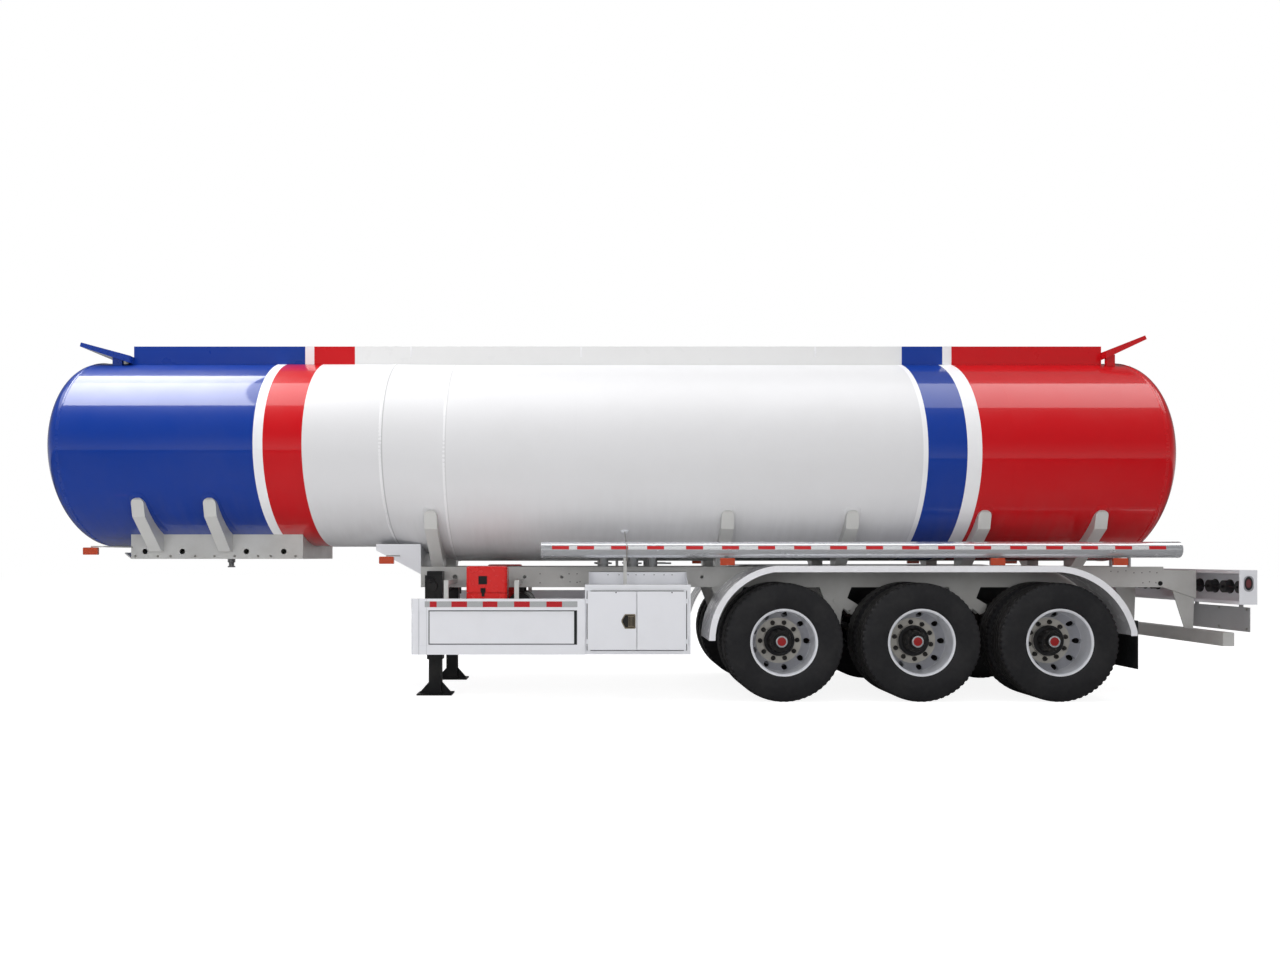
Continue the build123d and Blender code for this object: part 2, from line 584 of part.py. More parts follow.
def wheel(axle_x):
    """Two rims bolted back to back, the hub through them and the brake drum behind."""
    outer = turned(rim_section(1), axle_x)
    for number in range(HAND_HOLES):
        angle = 2 * math.pi * number / HAND_HOLES
        outer -= bar((axle_x + HAND_HOLE_CIRCLE * math.cos(angle), MOUNT_Y - 130,
                      TYRE_RADIUS + HAND_HOLE_CIRCLE * math.sin(angle)),
                     (axle_x + HAND_HOLE_CIRCLE * math.cos(angle), MOUNT_Y - 2,
                      TYRE_RADIUS + HAND_HOLE_CIRCLE * math.sin(angle)), HAND_HOLE_RADIUS)
    inner = turned(rim_section(-1), axle_x)
    cap_y = OUTER_TYRE_Y - RIM_WIDTH / 2 + HUB_CAP_INSET
    fit = HUB_BORE / 2 - FIT
    bore = SPINDLE_RADIUS + FIT
    hub = turned([(cap_y, 0), (cap_y, 52), (cap_y + 12, 60), (cap_y + 35, 60), (cap_y + 35, 92),
                  (MOUNT_Y - 60, 110), (MOUNT_Y - 45, fit), (DRUM_FRONT_Y, fit), (DRUM_FRONT_Y, DRUM_RADIUS - 8),
                  (DRUM_FRONT_Y + 30, DRUM_RADIUS), (DRUM_BACK_Y, DRUM_RADIUS), (DRUM_BACK_Y, DRUM_RADIUS - 16),
                  (DRUM_FRONT_Y + 46, DRUM_RADIUS - 16), (DRUM_FRONT_Y + 30, 120), (DRUM_BACK_Y - 60, 85),
                  (DRUM_BACK_Y - 60, bore), (-SPINDLE_END - RUNNING_GAP, bore),
                  (-SPINDLE_END - RUNNING_GAP, 0)], axle_x)
    return [outer, inner, hub]


def mudguard_face(drop):
    """Side outline of the cover over three wheels, shrunk inwards by the drop."""
    top = MUDGUARD_TOP - drop
    rear = MUDGUARD_REAR - drop
    front = MUDGUARD_FRONT + drop
    edges = [Line((1190, top), (3690, top)),
             ThreePointArc((3690, top), (4135 - 0.7 * drop, 1015 - 0.7 * drop), (rear, 620)),
             Line((rear, 620), (rear, 400)), Line((rear, 400), (front, 400)), Line((front, 400), (front, 560)),
             ThreePointArc((front, 560), (805 + 0.7 * drop, 1010 - 0.7 * drop), (1190, top))]
    plane = Plane(origin=(0, -HALF_WIDTH, 0), x_dir=(1, 0, 0), z_dir=(0, -1, 0))
    return plane * make_face(edges)


def mudguard():
    """One long cover over the three wheels: curved ends, a flat top and a deep outer lip."""
    across = (0, 1, 0)
    cover = extrude(mudguard_face(0), amount=MUDGUARD_WIDTH, dir=across)
    cover -= extrude(mudguard_face(MUDGUARD_SHEET), amount=MUDGUARD_WIDTH, dir=across)
    lip = extrude(mudguard_face(0), amount=MUDGUARD_SHEET, dir=across)
    lip -= extrude(mudguard_face(MUDGUARD_LIP), amount=MUDGUARD_SHEET, dir=across)
    below_rear = box(2500, 4500, -HALF_WIDTH - 1, 0, 300, 585)
    below_front = box(500, 2500, -HALF_WIDTH - 1, 0, 300, 543)
    return cover + lip - below_rear - below_front


def mudguard_arm(x):
    """Flat arm from the beam's web out under the mudguard's top."""
    top = MUDGUARD_TOP - MUDGUARD_SHEET - FIT
    return box(x - 25, x + 25, -HALF_WIDTH + 30, -BEAM_OUT, top - 45, top)


def mudflap():
    """Hanging rubber sheet behind the last wheel."""
    return box(MUDGUARD_REAR, MUDGUARD_REAR + 8, -HALF_WIDTH + 5, -650, 293, 720)


LEG_Y = -(BEAM_OUT + LEG_HALF)


def landing_leg():
    """Support leg: outer box tube on the beam's web, inner tube, and a braced foot plate."""
    inner = LEG_HALF - 15
    leg = box(LEG_X - LEG_HALF, LEG_X + LEG_HALF, LEG_Y - LEG_HALF, LEG_Y + LEG_HALF, 330, BEAM_TOP - 40)
    leg += box(LEG_X - inner, LEG_X + inner, LEG_Y - inner, LEG_Y + inner, FOOT_THICK, 330)
    leg += box(LEG_X - 162, LEG_X + 162, LEG_Y - 120, LEG_Y + 120, 0, FOOT_THICK)
    outline = [(LEG_X - 150, FOOT_THICK), (LEG_X + 150, FOOT_THICK), (LEG_X + inner, 120), (LEG_X - inner, 120)]
    return leg + side_profile(outline, LEG_Y - 8, LEG_Y + 8)


def landing_gearbox():
    """Gearbox on the outer face of the left leg, with a round cover."""
    face = LEG_Y - LEG_HALF
    body = box(LEG_X - 80, LEG_X + 80, face - 70, face, 890, 1110)
    return body + bar((LEG_X - 10, face - 95, 1010), (LEG_X - 10, face - 60, 1010), 45)


def landing_braces():
    """Cross shaft and stay between the legs, and a raked strut from each leg up to its beam."""
    inner_face = LEG_Y + LEG_HALF
    shaft = bar((LEG_X, inner_face, 950), (LEG_X, -inner_face, 950), 18)
    stay = box(LEG_X - 30, LEG_X + 30, inner_face, -inner_face, 440, 500)
    strut = side_profile([(LEG_X + LEG_HALF, 430), (LEG_X + LEG_HALF, 490), (LEG_X + 330, BEAM_BOTTOM),
                          (LEG_X + 400, BEAM_BOTTOM)], -BEAM_OUT - 10, -BEAM_OUT + 40)
    return [shaft, stay, *pair(strut)]


CABINET_FACE = -HALF_WIDTH + 2 + DOOR_THICK + RUNNING_GAP
CABINET_BACK = -HALF_WIDTH + CABINET_DEPTH
HINGE_Y = CABINET_FACE - RUNNING_GAP - 10
HINGE_PLACES = (CABINET_BOTTOM + 115, CABINET_TOP - 145)
DOOR_SPLIT = (DOOR_FRONT + DOOR_REAR) / 2


def cabinet():
    """Valve cabinet, open behind its two doors, with pins and lugs for their hinges."""
    wall = CABINET_WALL
    shell = box(CABINET_FRONT, CABINET_REAR, CABINET_FACE, CABINET_BACK, CABINET_BOTTOM, CABINET_TOP)
    shell -= box(CABINET_FRONT + wall, CABINET_REAR - wall, CABINET_FACE + wall, CABINET_BACK - wall,
                 CABINET_BOTTOM + wall, CABINET_TOP - wall)
    shell -= box(DOOR_FRONT + DOOR_LAP, DOOR_REAR - DOOR_LAP, CABINET_FACE - 1, CABINET_FACE + wall + 1,
                 DOOR_BOTTOM + DOOR_LAP, DOOR_TOP - DOOR_LAP)
    for x in (DOOR_FRONT - HINGE_OUT, DOOR_REAR + HINGE_OUT):
        for z in HINGE_PLACES:
            shell += bar((x, HINGE_Y, z - 34), (x, HINGE_Y, z + 34), HINGE_PIN)
            for low in (z - 34, z + 21):
                shell += box(x - 6, x + 6, HINGE_Y, CABINET_FACE, low, low + 13)
    return shell


def door(x0, x1, hinge_x):
    """Cabinet door with a knuckle at each hinge and a raised latch block at its free edge."""
    outer = -HALF_WIDTH + 2
    leaf = box(x0, x1, outer, outer + DOOR_THICK, DOOR_BOTTOM, DOOR_TOP)
    near = min((x0, x1), key=lambda x: abs(x - hinge_x))
    for z in HINGE_PLACES:
        leaf += box(min(hinge_x, near), max(hinge_x, near), HINGE_Y - 4, HINGE_Y + 4, z - 20, z + 20)
        leaf += bar((hinge_x, HINGE_Y, z - 20), (hinge_x, HINGE_Y, z + 20), HINGE_PIN + 4)
        leaf -= bar((hinge_x, HINGE_Y, z - 40), (hinge_x, HINGE_Y, z + 40), HINGE_PIN + FIT)
    return leaf


def skirt():
    """Side panel ahead of the cabinet, with a rounded front corner and a sunk field."""
    outer = -HALF_WIDTH
    sheet = box(SKIRT_FRONT, CABINET_FRONT, outer, outer + SKIRT_SHEET, CABINET_BOTTOM, SKIRT_TOP)
    corner = sheet.edges().filter_by(Axis.Z).sort_by(Axis.X)[:2].sort_by(Axis.Y)[0]
    sheet = fillet(corner, SKIRT_SHEET - 3)
    return sheet - box(-1942, CABINET_FRONT - 60, outer - 1, outer + 6, 500, 805)


def skirt_stay(x):
    """Bracket from the beam's web out and down to the back of the skirt."""
    back = -HALF_WIDTH + SKIRT_SHEET
    arm = box(x - 20, x + 20, back, -BEAM_OUT, BEAM_BOTTOM + 40, BEAM_BOTTOM + 80)
    return Compound([arm, box(x - 20, x + 20, back, back + 30, CABINET_BOTTOM + 60, BEAM_BOTTOM + 40)])


def cabinet_stay(x):
    """Bracket from the beam's web out to the back of the cabinet."""
    return box(x - 25, x + 25, CABINET_BACK, -BEAM_OUT, BEAM_BOTTOM, CABINET_TOP - 5)


def outlet(x):
    """Discharge valve that hangs inside the cabinet, with a capped mouth facing the doors."""
    y = CABINET_BACK - 190
    top = CABINET_TOP - CABINET_WALL
    body = bar((x, y, 690), (x, y, top), 48)
    body += bar((x, y, 690), (x, CABINET_FACE + 90, 690), 55)
    body += bar((x, CABINET_FACE + 130, 690), (x, CABINET_FACE + 70, 690), 72)
    return body


def outlet_pipe(x):
    """Pipe from the tank's belly down to the cabinet's roof."""
    y = CABINET_BACK - 190
    return bar((x, y, CABINET_TOP), (x, y, tank_middle(REAR_HEIGHT)), 48) - tank_clearance


EXT_HINGE_Y = EXT_BACK + 13
EXT_HINGE_Z = EXT_SPLIT + RUNNING_GAP / 2


def rounded_block(x0, x1, y0, y1, z0, z1, radius):
    """Block with rounded upright edges."""
    block = box(x0, x1, y0, y1, z0, z1)
    return fillet(block.edges().filter_by(Axis.Z), radius)


def extinguisher_case():
    """Open-topped plastic case with the pin and lugs of its lid."""
    w = EXT_WALL
    case = rounded_block(EXT_FRONT, EXT_REAR, EXT_FACE, EXT_BACK, EXT_BOTTOM, EXT_SPLIT, 30)
    case -= rounded_block(EXT_FRONT + w, EXT_REAR - w, EXT_FACE + w, EXT_BACK - w,
                          EXT_BOTTOM + w, EXT_SPLIT + 1, 30 - w)
    middle = (EXT_FRONT + EXT_REAR) / 2
    for x in (middle - 70, middle + 56):
        case += box(x, x + 14, EXT_BACK - 1, EXT_HINGE_Y + 6, EXT_HINGE_Z - 40, EXT_HINGE_Z - 6)
        case += bar((x, EXT_HINGE_Y, EXT_HINGE_Z), (x + 14, EXT_HINGE_Y, EXT_HINGE_Z), 8)
        case += box(x, x + 14, EXT_HINGE_Y - 6, EXT_HINGE_Y + 6, EXT_HINGE_Z - 10, EXT_HINGE_Z)
    return case + bar((middle - 70, EXT_HINGE_Y, EXT_HINGE_Z), (middle + 70, EXT_HINGE_Y, EXT_HINGE_Z), 4)


def extinguisher_lid():
    """Deep lid with rounded top edges and a knuckle on the case's pin."""
    w = EXT_WALL
    low = EXT_SPLIT + RUNNING_GAP
    lid = rounded_block(EXT_FRONT, EXT_REAR, EXT_FACE, EXT_BACK, low, EXT_TOP, 30)
    lid = fillet(lid.faces().sort_by(Axis.Z)[-1].edges(), 20)
    lid -= rounded_block(EXT_FRONT + w, EXT_REAR - w, EXT_FACE + w, EXT_BACK - w, low - 1, EXT_TOP - 25, 30 - w)
    middle = (EXT_FRONT + EXT_REAR) / 2
    tab = box(middle - 45, middle + 45, EXT_BACK - 2, EXT_HINGE_Y, low, low + 12)
    knuckle = bar((middle - 45, EXT_HINGE_Y, EXT_HINGE_Z), (middle + 45, EXT_HINGE_Y, EXT_HINGE_Z), 8)
    bore = bar((middle - 80, EXT_HINGE_Y, EXT_HINGE_Z), (middle + 80, EXT_HINGE_Y, EXT_HINGE_Z), 4 + FIT)
    return lid + tab + knuckle - bore


def extinguisher_stay():
    """Bracket from under the beam down and out to the back of the case."""
    middle = (EXT_FRONT + EXT_REAR) / 2
    outline = [(-480, BEAM_BOTTOM), (-560, BEAM_BOTTOM), (-560, 860), (EXT_BACK, 860), (EXT_BACK, 815),
               (-520, 815), (-480, 860)]
    return cross_profile(outline, middle - 40, middle + 40)


def side_tube():
    """Bright round guard tube with closed ends."""
    return bar((SIDE_TUBE_FRONT, -SIDE_TUBE_Y, SIDE_TUBE_Z), (SIDE_TUBE_REAR, -SIDE_TUBE_Y, SIDE_TUBE_Z),
               SIDE_TUBE_RADIUS)


def tube_arm(x):
    """Flat arm from a saddle's slanted outer face to the side tube."""
    half = SIDE_ARM_WIDTH / 2
    bend_y = tank_reach(REAR_SADDLE_TOP, REAR_HEIGHT) - SADDLE_FLARE
    slant = (bend_y - BEAM_OUT) / (REAR_SADDLE_TOP - SADDLE_BEND - BEAM_TOP)
    out = -SIDE_TUBE_Y + SIDE_TUBE_RADIUS + FIT
    outline = [(out, SIDE_TUBE_Z - 14), (out, SIDE_TUBE_Z + 14)]
    for z in (SIDE_TUBE_Z + 14, SIDE_TUBE_Z - 14):
        outline.append((-BEAM_OUT - (z - BEAM_TOP) * slant, z))
    return cross_profile(outline, x - half, x + half)


def tube_post():
    """Post from the cabinet's roof up to the side tube."""
    top = SIDE_TUBE_Z - SIDE_TUBE_RADIUS - FIT
    return box(TUBE_POST_X - 15, TUBE_POST_X + 15, -SIDE_TUBE_Y - 15, -SIDE_TUBE_Y + 15, CABINET_TOP, top)


def marker_strap(x):
    """Strap under the side tube that holds a marker lamp at its outer end."""
    top = SIDE_TUBE_Z - SIDE_TUBE_RADIUS - FIT
    return box(x - 18, x + 18, -MARKER_Y + 15, -SIDE_TUBE_Y + 20, top - 5, top)


def marker_lamp(x, z):
    """Side marker lamp with rounded ends."""
    lamp = box(x - 65, x + 65, -MARKER_Y - 15, -MARKER_Y + 15, z - 32, z + 32)
    return fillet(lamp.edges().filter_by(Axis.Y), 8)


def front_marker_rod(x, z, carrier_x, carrier_y):
    """Bent rod from the coupler's or the fairing's side out to a marker lamp."""
    out = -MARKER_Y + 15
    rise = z + 40
    rod = box(carrier_x - 6, carrier_x + 6, out, -carrier_y, rise - 6, rise + 6)
    rod += box(min(x, carrier_x) - 6, max(x, carrier_x) + 6, out, out + 12, rise - 6, rise + 6)
    return rod + box(x - 8, x + 8, out, out + 12, z - 20, rise + 6)


def light_bar():
    """Rear channel, full width and open to the front, with round holes for the lamps."""
    y = LIGHT_BAR_HALF
    body = box(LIGHT_BAR_FRONT, LIGHT_BAR_REAR, -y, y, LIGHT_BAR_BOTTOM, LIGHT_BAR_TOP)
    sheet = LIGHT_BAR_SHEET
    body -= box(LIGHT_BAR_FRONT - 1, LIGHT_BAR_REAR - sheet, -y + sheet, y - sheet,
                LIGHT_BAR_BOTTOM + sheet, LIGHT_BAR_TOP - sheet)
    for z in (LIGHT_BAR_BOTTOM, LIGHT_BAR_TOP - 30):
        body += box(LIGHT_BAR_FRONT, LIGHT_BAR_FRONT + sheet, -y, y, z, z + 30)
    for place in LAMP_Y:
        for side in (LEFT, RIGHT):
            body -= bar((LIGHT_BAR_REAR - 20, side * place, LAMP_Z), (LIGHT_BAR_REAR + 5, side * place, LAMP_Z),
                        LAMP_RADIUS + 2)
    return body


def rear_lamp(y):
    """Round lamp that fills its hole, with a flange, a body and a cable boss inside the bar."""
    back = LIGHT_BAR_REAR - LIGHT_BAR_SHEET - FIT
    lamp = bar((back - 70, y, LAMP_Z), (LIGHT_BAR_REAR, y, LAMP_Z), LAMP_RADIUS)
    flange = bar((back - 8, y, LAMP_Z), (back, y, LAMP_Z), LAMP_RADIUS + 8)
    boss = bar((back - 90, y, LAMP_Z), (back - 60, y, LAMP_Z), LAMP_BOSS)
    return lamp + flange + boss


def end_lamp():
    """Oval lamp on the closed end of the light bar."""
    middle = (LIGHT_BAR_FRONT + LIGHT_BAR_REAR) / 2
    face = Plane(origin=(middle, -LIGHT_BAR_HALF, 1043), x_dir=(0, 0, 1), z_dir=(0, -1, 0)) * SlotOverall(140, 83)
    return extrude(face, amount=HALF_WIDTH - LIGHT_BAR_HALF, dir=(0, -1, 0))


def tail_stub():
    """Bracket from a beam's end back to the light bar."""
    return side_profile([(BEAM_REAR, BEAM_TOP - 30), (LIGHT_BAR_FRONT, LIGHT_BAR_TOP - 10),
                         (LIGHT_BAR_FRONT, LIGHT_BAR_BOTTOM + 30), (BEAM_REAR, BEAM_BOTTOM)],
                        -BEAM_OUT, -BEAM_OUT + 20)


def underrun_drop():
    """Tapered arm from the stub down to the underrun bar."""
    low = UNDERRUN_Z + UNDERRUN_HEIGHT / 2
    return side_profile([(5040, 1020), (LIGHT_BAR_FRONT - 2, 1020), (UNDERRUN_X + 40, low),
                         (UNDERRUN_X - 40, low)], -BEAM_OUT + 20, -BEAM_OUT + 32)


def tail_frame():
    """Everything welded behind the beams: stubs, cross tube, underrun bar with its arms, plate panel."""
    cross = box(5000, 5060, -BEAM_OUT + 32, BEAM_OUT - 32, 1040, 1100)
    half = UNDERRUN_HEIGHT / 2
    bar_y = HALF_WIDTH - 70
    rail = box(UNDERRUN_X - 50, UNDERRUN_X + 50, -bar_y, bar_y, UNDERRUN_Z - half, UNDERRUN_Z + half)
    frame = cross + rail
    for piece in (*pair(tail_stub()), *pair(underrun_drop())):
        frame += piece
    return frame


def plate_panel():
    """Blank number plate panel on two straps below the light bar."""
    x = LIGHT_BAR_REAR - 16
    panel = box(x, x + 6, -1160, -200, 612, 830)
    return panel + box(x, x + 6, -1060, -1000, 820, LIGHT_BAR_BOTTOM) + box(x, x + 6, -360, -300, 820, LIGHT_BAR_BOTTOM)


def ladder():
    """Rear ladder: two rails that stand on the tail frame and turn over onto the roof, with rungs."""
    foot = 1100.0
    roof = TANK_TOP + 25
    body = None
    for y in (LADDER_Y - LADDER_HALF, LADDER_Y + LADDER_HALF):
        rail = bar((LADDER_X, y, foot), (LADDER_X, y, roof), LADDER_RAIL)
        rail += Pos(LADDER_X, y, roof) * Sphere(LADDER_RAIL)
        rail += bar((LADDER_X, y, roof), (SHELL_REAR - 60, y, roof), LADDER_RAIL)
        rail += bar((SHELL_REAR - 60, y, roof + LADDER_RAIL), (SHELL_REAR - 60, y, TANK_TOP - 80), LADDER_RAIL)
        body = rail if body is None else body + rail
    for number in range(LADDER_RUNGS):
        z = foot + 150 + number * LADDER_PITCH
        body += bar((LADDER_X, LADDER_Y - LADDER_HALF, z), (LADDER_X, LADDER_Y + LADDER_HALF, z), 12)
    return body - tank_clearance


def air_tank(x):
    """Air reservoir across the frame, hung by two straps from its crossmember."""
    tank = bar((x, -AIR_TANK_HALF, AIR_TANK_Z), (x, AIR_TANK_HALF, AIR_TANK_Z), AIR_TANK_RADIUS)
    for y in (-250, 250):
        tank += box(x - 30, x + 30, y - 20, y + 20, AIR_TANK_Z + AIR_TANK_RADIUS - 8, CROSSMEMBER_BOTTOM)
        tank += bar((x, y - 20, AIR_TANK_Z), (x, y + 20, AIR_TANK_Z), AIR_TANK_RADIUS + 4)
    return tank


def lamp_cable(y0, y1):
    """Cable from one lamp's boss to the next."""
    x = LIGHT_BAR_REAR - LIGHT_BAR_SHEET - FIT - 78
    return bar((x, y0, LAMP_Z), (x, y1, LAMP_Z), 5)


def main():
    save("tank_barrel", tank_barrel())
    save("tank_heads", tank_head(SHELL_FRONT, FRONT_HEIGHT, -1), tank_head(SHELL_REAR, REAR_HEIGHT, 1))
    save("roof_guards", roof_guard(LEFT), roof_guard(RIGHT))
    save("walkway", walkway())
    save("front_wing", front_wing())
    save("rear_wing", rear_wing())
    save("manhole_collars", *[manhole_collar(x) for x in MANHOLE_X])
    for number, x in enumerate(MANHOLE_X, start=1):
        save(f"manhole_lid_{number}", manhole_lid(x))
    save("vent_pipe", vent_pipe())
    rear_saddles = [saddle(x, REAR_SADDLE_TOP, BEAM_TOP, 420, BEAM_OUT, REAR_HEIGHT) for x in REAR_SADDLES]
    front_saddles = [saddle(x, FRONT_SADDLE_TOP, SKID_BOTTOM + 70, COUPLER_HALF, COUPLER_HALF + 60, FRONT_HEIGHT)
                     for x in FRONT_SADDLES]
    save("tank_saddles", *[piece for one in rear_saddles + front_saddles for piece in pair(one)])
    save("coupler", coupler())
    save("kingpin", kingpin())
    save("belly_fairing", belly_fairing())
    save("frame_beams", *pair(frame_beam()))
    save("crossmembers", *[crossmember(x) for x in CROSSMEMBER_X])
    save("spring_hangers", *[piece for one in hangers() for piece in pair(one)])
    save("equalisers", *[piece for number in (0, 1) for piece in pair(equaliser(number))])
    save("leaf_springs", *[piece for x in AXLE_X for piece in pair(leaf_spring(x))])
    save("spring_clamps", *[piece for x in AXLE_X for piece in pair(spring_clamp(x))])
    save("axles", *[axle(x) for x in AXLE_X])
    save("brake_chambers", *[piece for x in AXLE_X for piece in pair(brake_chamber(x))])
    arm_starts = (FRONT_SPRING_PIN[0], *EQUALISER_X)
    save("torque_arms", *[piece for start, x in zip(arm_starts, AXLE_X) for piece in pair(torque_arm(start, x))])
    for number, x in enumerate(AXLE_X, start=1):
        tyres = [tyre(x, OUTER_TYRE_Y), tyre(x, INNER_TYRE_Y)]
        left_wheel = wheel(x)
        save(f"tyres_{number}_left", *tyres)
        save(f"tyres_{number}_right", *[mirrored(one) for one in tyres])
        save(f"wheel_{number}_left", *left_wheel)
        save(f"wheel_{number}_right", *[mirrored(one) for one in left_wheel])
    save("mudguards", *pair(mudguard()))
    save("mudflaps", *pair(mudflap()))
    save("landing_gear", *pair(landing_leg()), *pair(landing_gearbox()), *landing_braces())
    save("cabinets", *pair(cabinet()))
    front_door = door(DOOR_FRONT, DOOR_SPLIT - RUNNING_GAP / 2, DOOR_FRONT - HINGE_OUT)
    rear_door = door(DOOR_SPLIT + RUNNING_GAP / 2, DOOR_REAR, DOOR_REAR + HINGE_OUT)
    save("door_left_front", front_door)
    save("door_left_rear", rear_door)
    save("door_right_front", mirrored(front_door))
    save("door_right_rear", mirrored(rear_door))
    save("skirts", *pair(skirt()))
    save("outlets", *[piece for x in OUTLET_X for piece in pair(outlet(x))],
         *[piece for x in OUTLET_X for piece in pair(outlet_pipe(x))])
    save("extinguisher_cases", *pair(extinguisher_case()))
    lid = extinguisher_lid()
    save("extinguisher_lid_left", lid)
    save("extinguisher_lid_right", mirrored(lid))
    save("side_tubes", *pair(side_tube()))
    stays = [skirt_stay(x) for x in SKIRT_STAY_X] + [cabinet_stay(x) for x in CABINET_STAY_X]
    stays += [tube_arm(x) for x in TUBE_ARM_X] + [tube_post(), extinguisher_stay()]
    stays += [mudguard_arm(x) for x in MUDGUARD_ARM_X] + [marker_strap(x) for x in MARKER_X]
    rods = [front_marker_rod(*row) for row in FRONT_MARKERS]
    save("side_brackets", *[piece for one in stays + rods for piece in pair(one)])
    lamps = [marker_lamp(x, SIDE_TUBE_Z - SIDE_TUBE_RADIUS - 35) for x in MARKER_X]
    lamps += [marker_lamp(row[0], row[1]) for row in FRONT_MARKERS]
    save("marker_lamps", *[piece for one in lamps for piece in pair(one)])
    save("light_bar", light_bar())
    save("rear_lamps", *[rear_lamp(side * y) for y in LAMP_Y for side in (LEFT, RIGHT)], *pair(end_lamp()))
    cables = [lamp_cable(-y1 + LAMP_BOSS + FIT, -y0 - LAMP_BOSS - FIT) for y0, y1 in zip(LAMP_Y, LAMP_Y[1:])]
    save("lamp_cables", *[piece for one in cables for piece in pair(one)])
    save("tail_frame", tail_frame())
    save("plate_panel", plate_panel())
    save("ladder", ladder())
    save("air_tanks", *[air_tank(x) for x in AIR_TANK_X])


main()
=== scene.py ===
import math

import bpy
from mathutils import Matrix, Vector


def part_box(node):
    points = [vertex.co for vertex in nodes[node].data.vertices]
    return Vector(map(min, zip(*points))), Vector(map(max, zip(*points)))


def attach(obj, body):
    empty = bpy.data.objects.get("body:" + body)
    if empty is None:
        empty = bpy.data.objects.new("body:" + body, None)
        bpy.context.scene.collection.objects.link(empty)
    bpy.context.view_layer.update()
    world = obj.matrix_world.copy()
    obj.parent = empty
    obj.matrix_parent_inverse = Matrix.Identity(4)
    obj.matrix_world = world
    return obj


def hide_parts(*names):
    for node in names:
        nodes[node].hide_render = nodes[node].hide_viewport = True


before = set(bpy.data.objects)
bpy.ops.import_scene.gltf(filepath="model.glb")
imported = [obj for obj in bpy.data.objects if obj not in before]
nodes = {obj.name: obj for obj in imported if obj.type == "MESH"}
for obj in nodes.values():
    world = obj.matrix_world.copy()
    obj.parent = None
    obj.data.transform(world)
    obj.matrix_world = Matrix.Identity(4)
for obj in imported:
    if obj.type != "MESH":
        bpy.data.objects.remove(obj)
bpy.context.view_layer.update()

# Places and sizes that the part's source sets, in metres: X runs to the tail, -Y is the left side, Z is up
SIDES = (("left", -1), ("right", 1))
AXLES = (1.273, 2.484, 3.700)
WHEEL_Z = 0.525
OUTER_TYRE_Y, INNER_TYRE_Y = 1.1105, 0.7755
DISC_Y = 0.957
HUB_FACE_Y = 1.1125
NUT_CIRCLE = 0.1675
TANK_HALF_WIDTH = 1.250
TANK_TOP = 3.170
FRONT_HEIGHT, REAR_HEIGHT = 1.790, 1.930  # of the tank, before and behind its cone
CONE_FRONT, CONE_LENGTH = -2.280, 0.560
REAR_SADDLES = (-1.860, 0.800, 1.918, 3.098, 4.144)
FRONT_SADDLES = (-4.478, -3.834)
MANHOLES = (-3.500, -0.250, 2.850)
BEAM_FACE_Y = 0.5695
COUPLER_FACE_Y = 0.5995
TUBE_Y, TUBE_Z, TUBE_RADIUS = 1.150, 1.343, 0.071
TUBE_FRONT, TUBE_REAR = -0.867, 4.788
VALVE_Y, VALVE_Z = 0.960, 0.690
LID_FACE_Y = 1.2145  # of the extinguisher case
PLATE_FACE_X = 5.4092
LAMP_Y = (0.380, 0.630, 0.860, 1.090)
LAMP_Z = 1.010
LAMP_FACE_X = 5.400
LENS_RADIUS = 0.050
END_LAMP_X, END_LAMP_Z, END_LAMP_Y = 5.344, 1.045, 1.2405
END_LAMP_HALF = (0.041, 0.067)

# Colours from 0 to 255
BLUE = (6, 55, 150)
RED = (200, 4, 18)
WHITE = (224, 224, 226)
GUARD_WHITE = (232, 232, 232)
PANEL_WHITE = (230, 231, 236)
EDGE = (240, 240, 242)
RED_TAPE = (186, 14, 26)
GREY_TAPE = (172, 174, 176)
BLACK = (24, 24, 26)

# How much clear coat the coloured bands and the white ones have, as greys
GLOSSY = (244, 244, 244)
DULL = (70, 70, 70)

# The camera of the photograph: its place, its focal length in pixels, and its level column and row
CAMERA = (-0.495, -10.75, 1.28)
FOCAL = 1083
CENTRE_COLUMN, CENTRE_ROW = 583, 557


def photo_x(column, y):
    """Place along X of a photo column on a plane at that Y."""
    return (column - CENTRE_COLUMN) / FOCAL * (y - CAMERA[1]) + CAMERA[0]


def photo_z(row, y):
    """Height of a photo row on a plane at that Y."""
    return CAMERA[2] + (CENTRE_ROW - row) / FOCAL * (y - CAMERA[1])


def linear(rgb):
    """Colour as the shader needs it, from 0-255 values."""
    out = []
    for value in rgb:
        c = value / 255
        out.append(c / 12.92 if c <= 0.04045 else ((c + 0.055) / 1.055) ** 2.4)
    return (*out, 1.0)


# Materials

NOISE_SPAN = (0.3, 0.7)  # where most of a noise lies
FINE = 0.0006  # depth of orange peel and grain
TANK_SPAN = (-5.5, 5.5)
TAPE_CELLS = 160.0


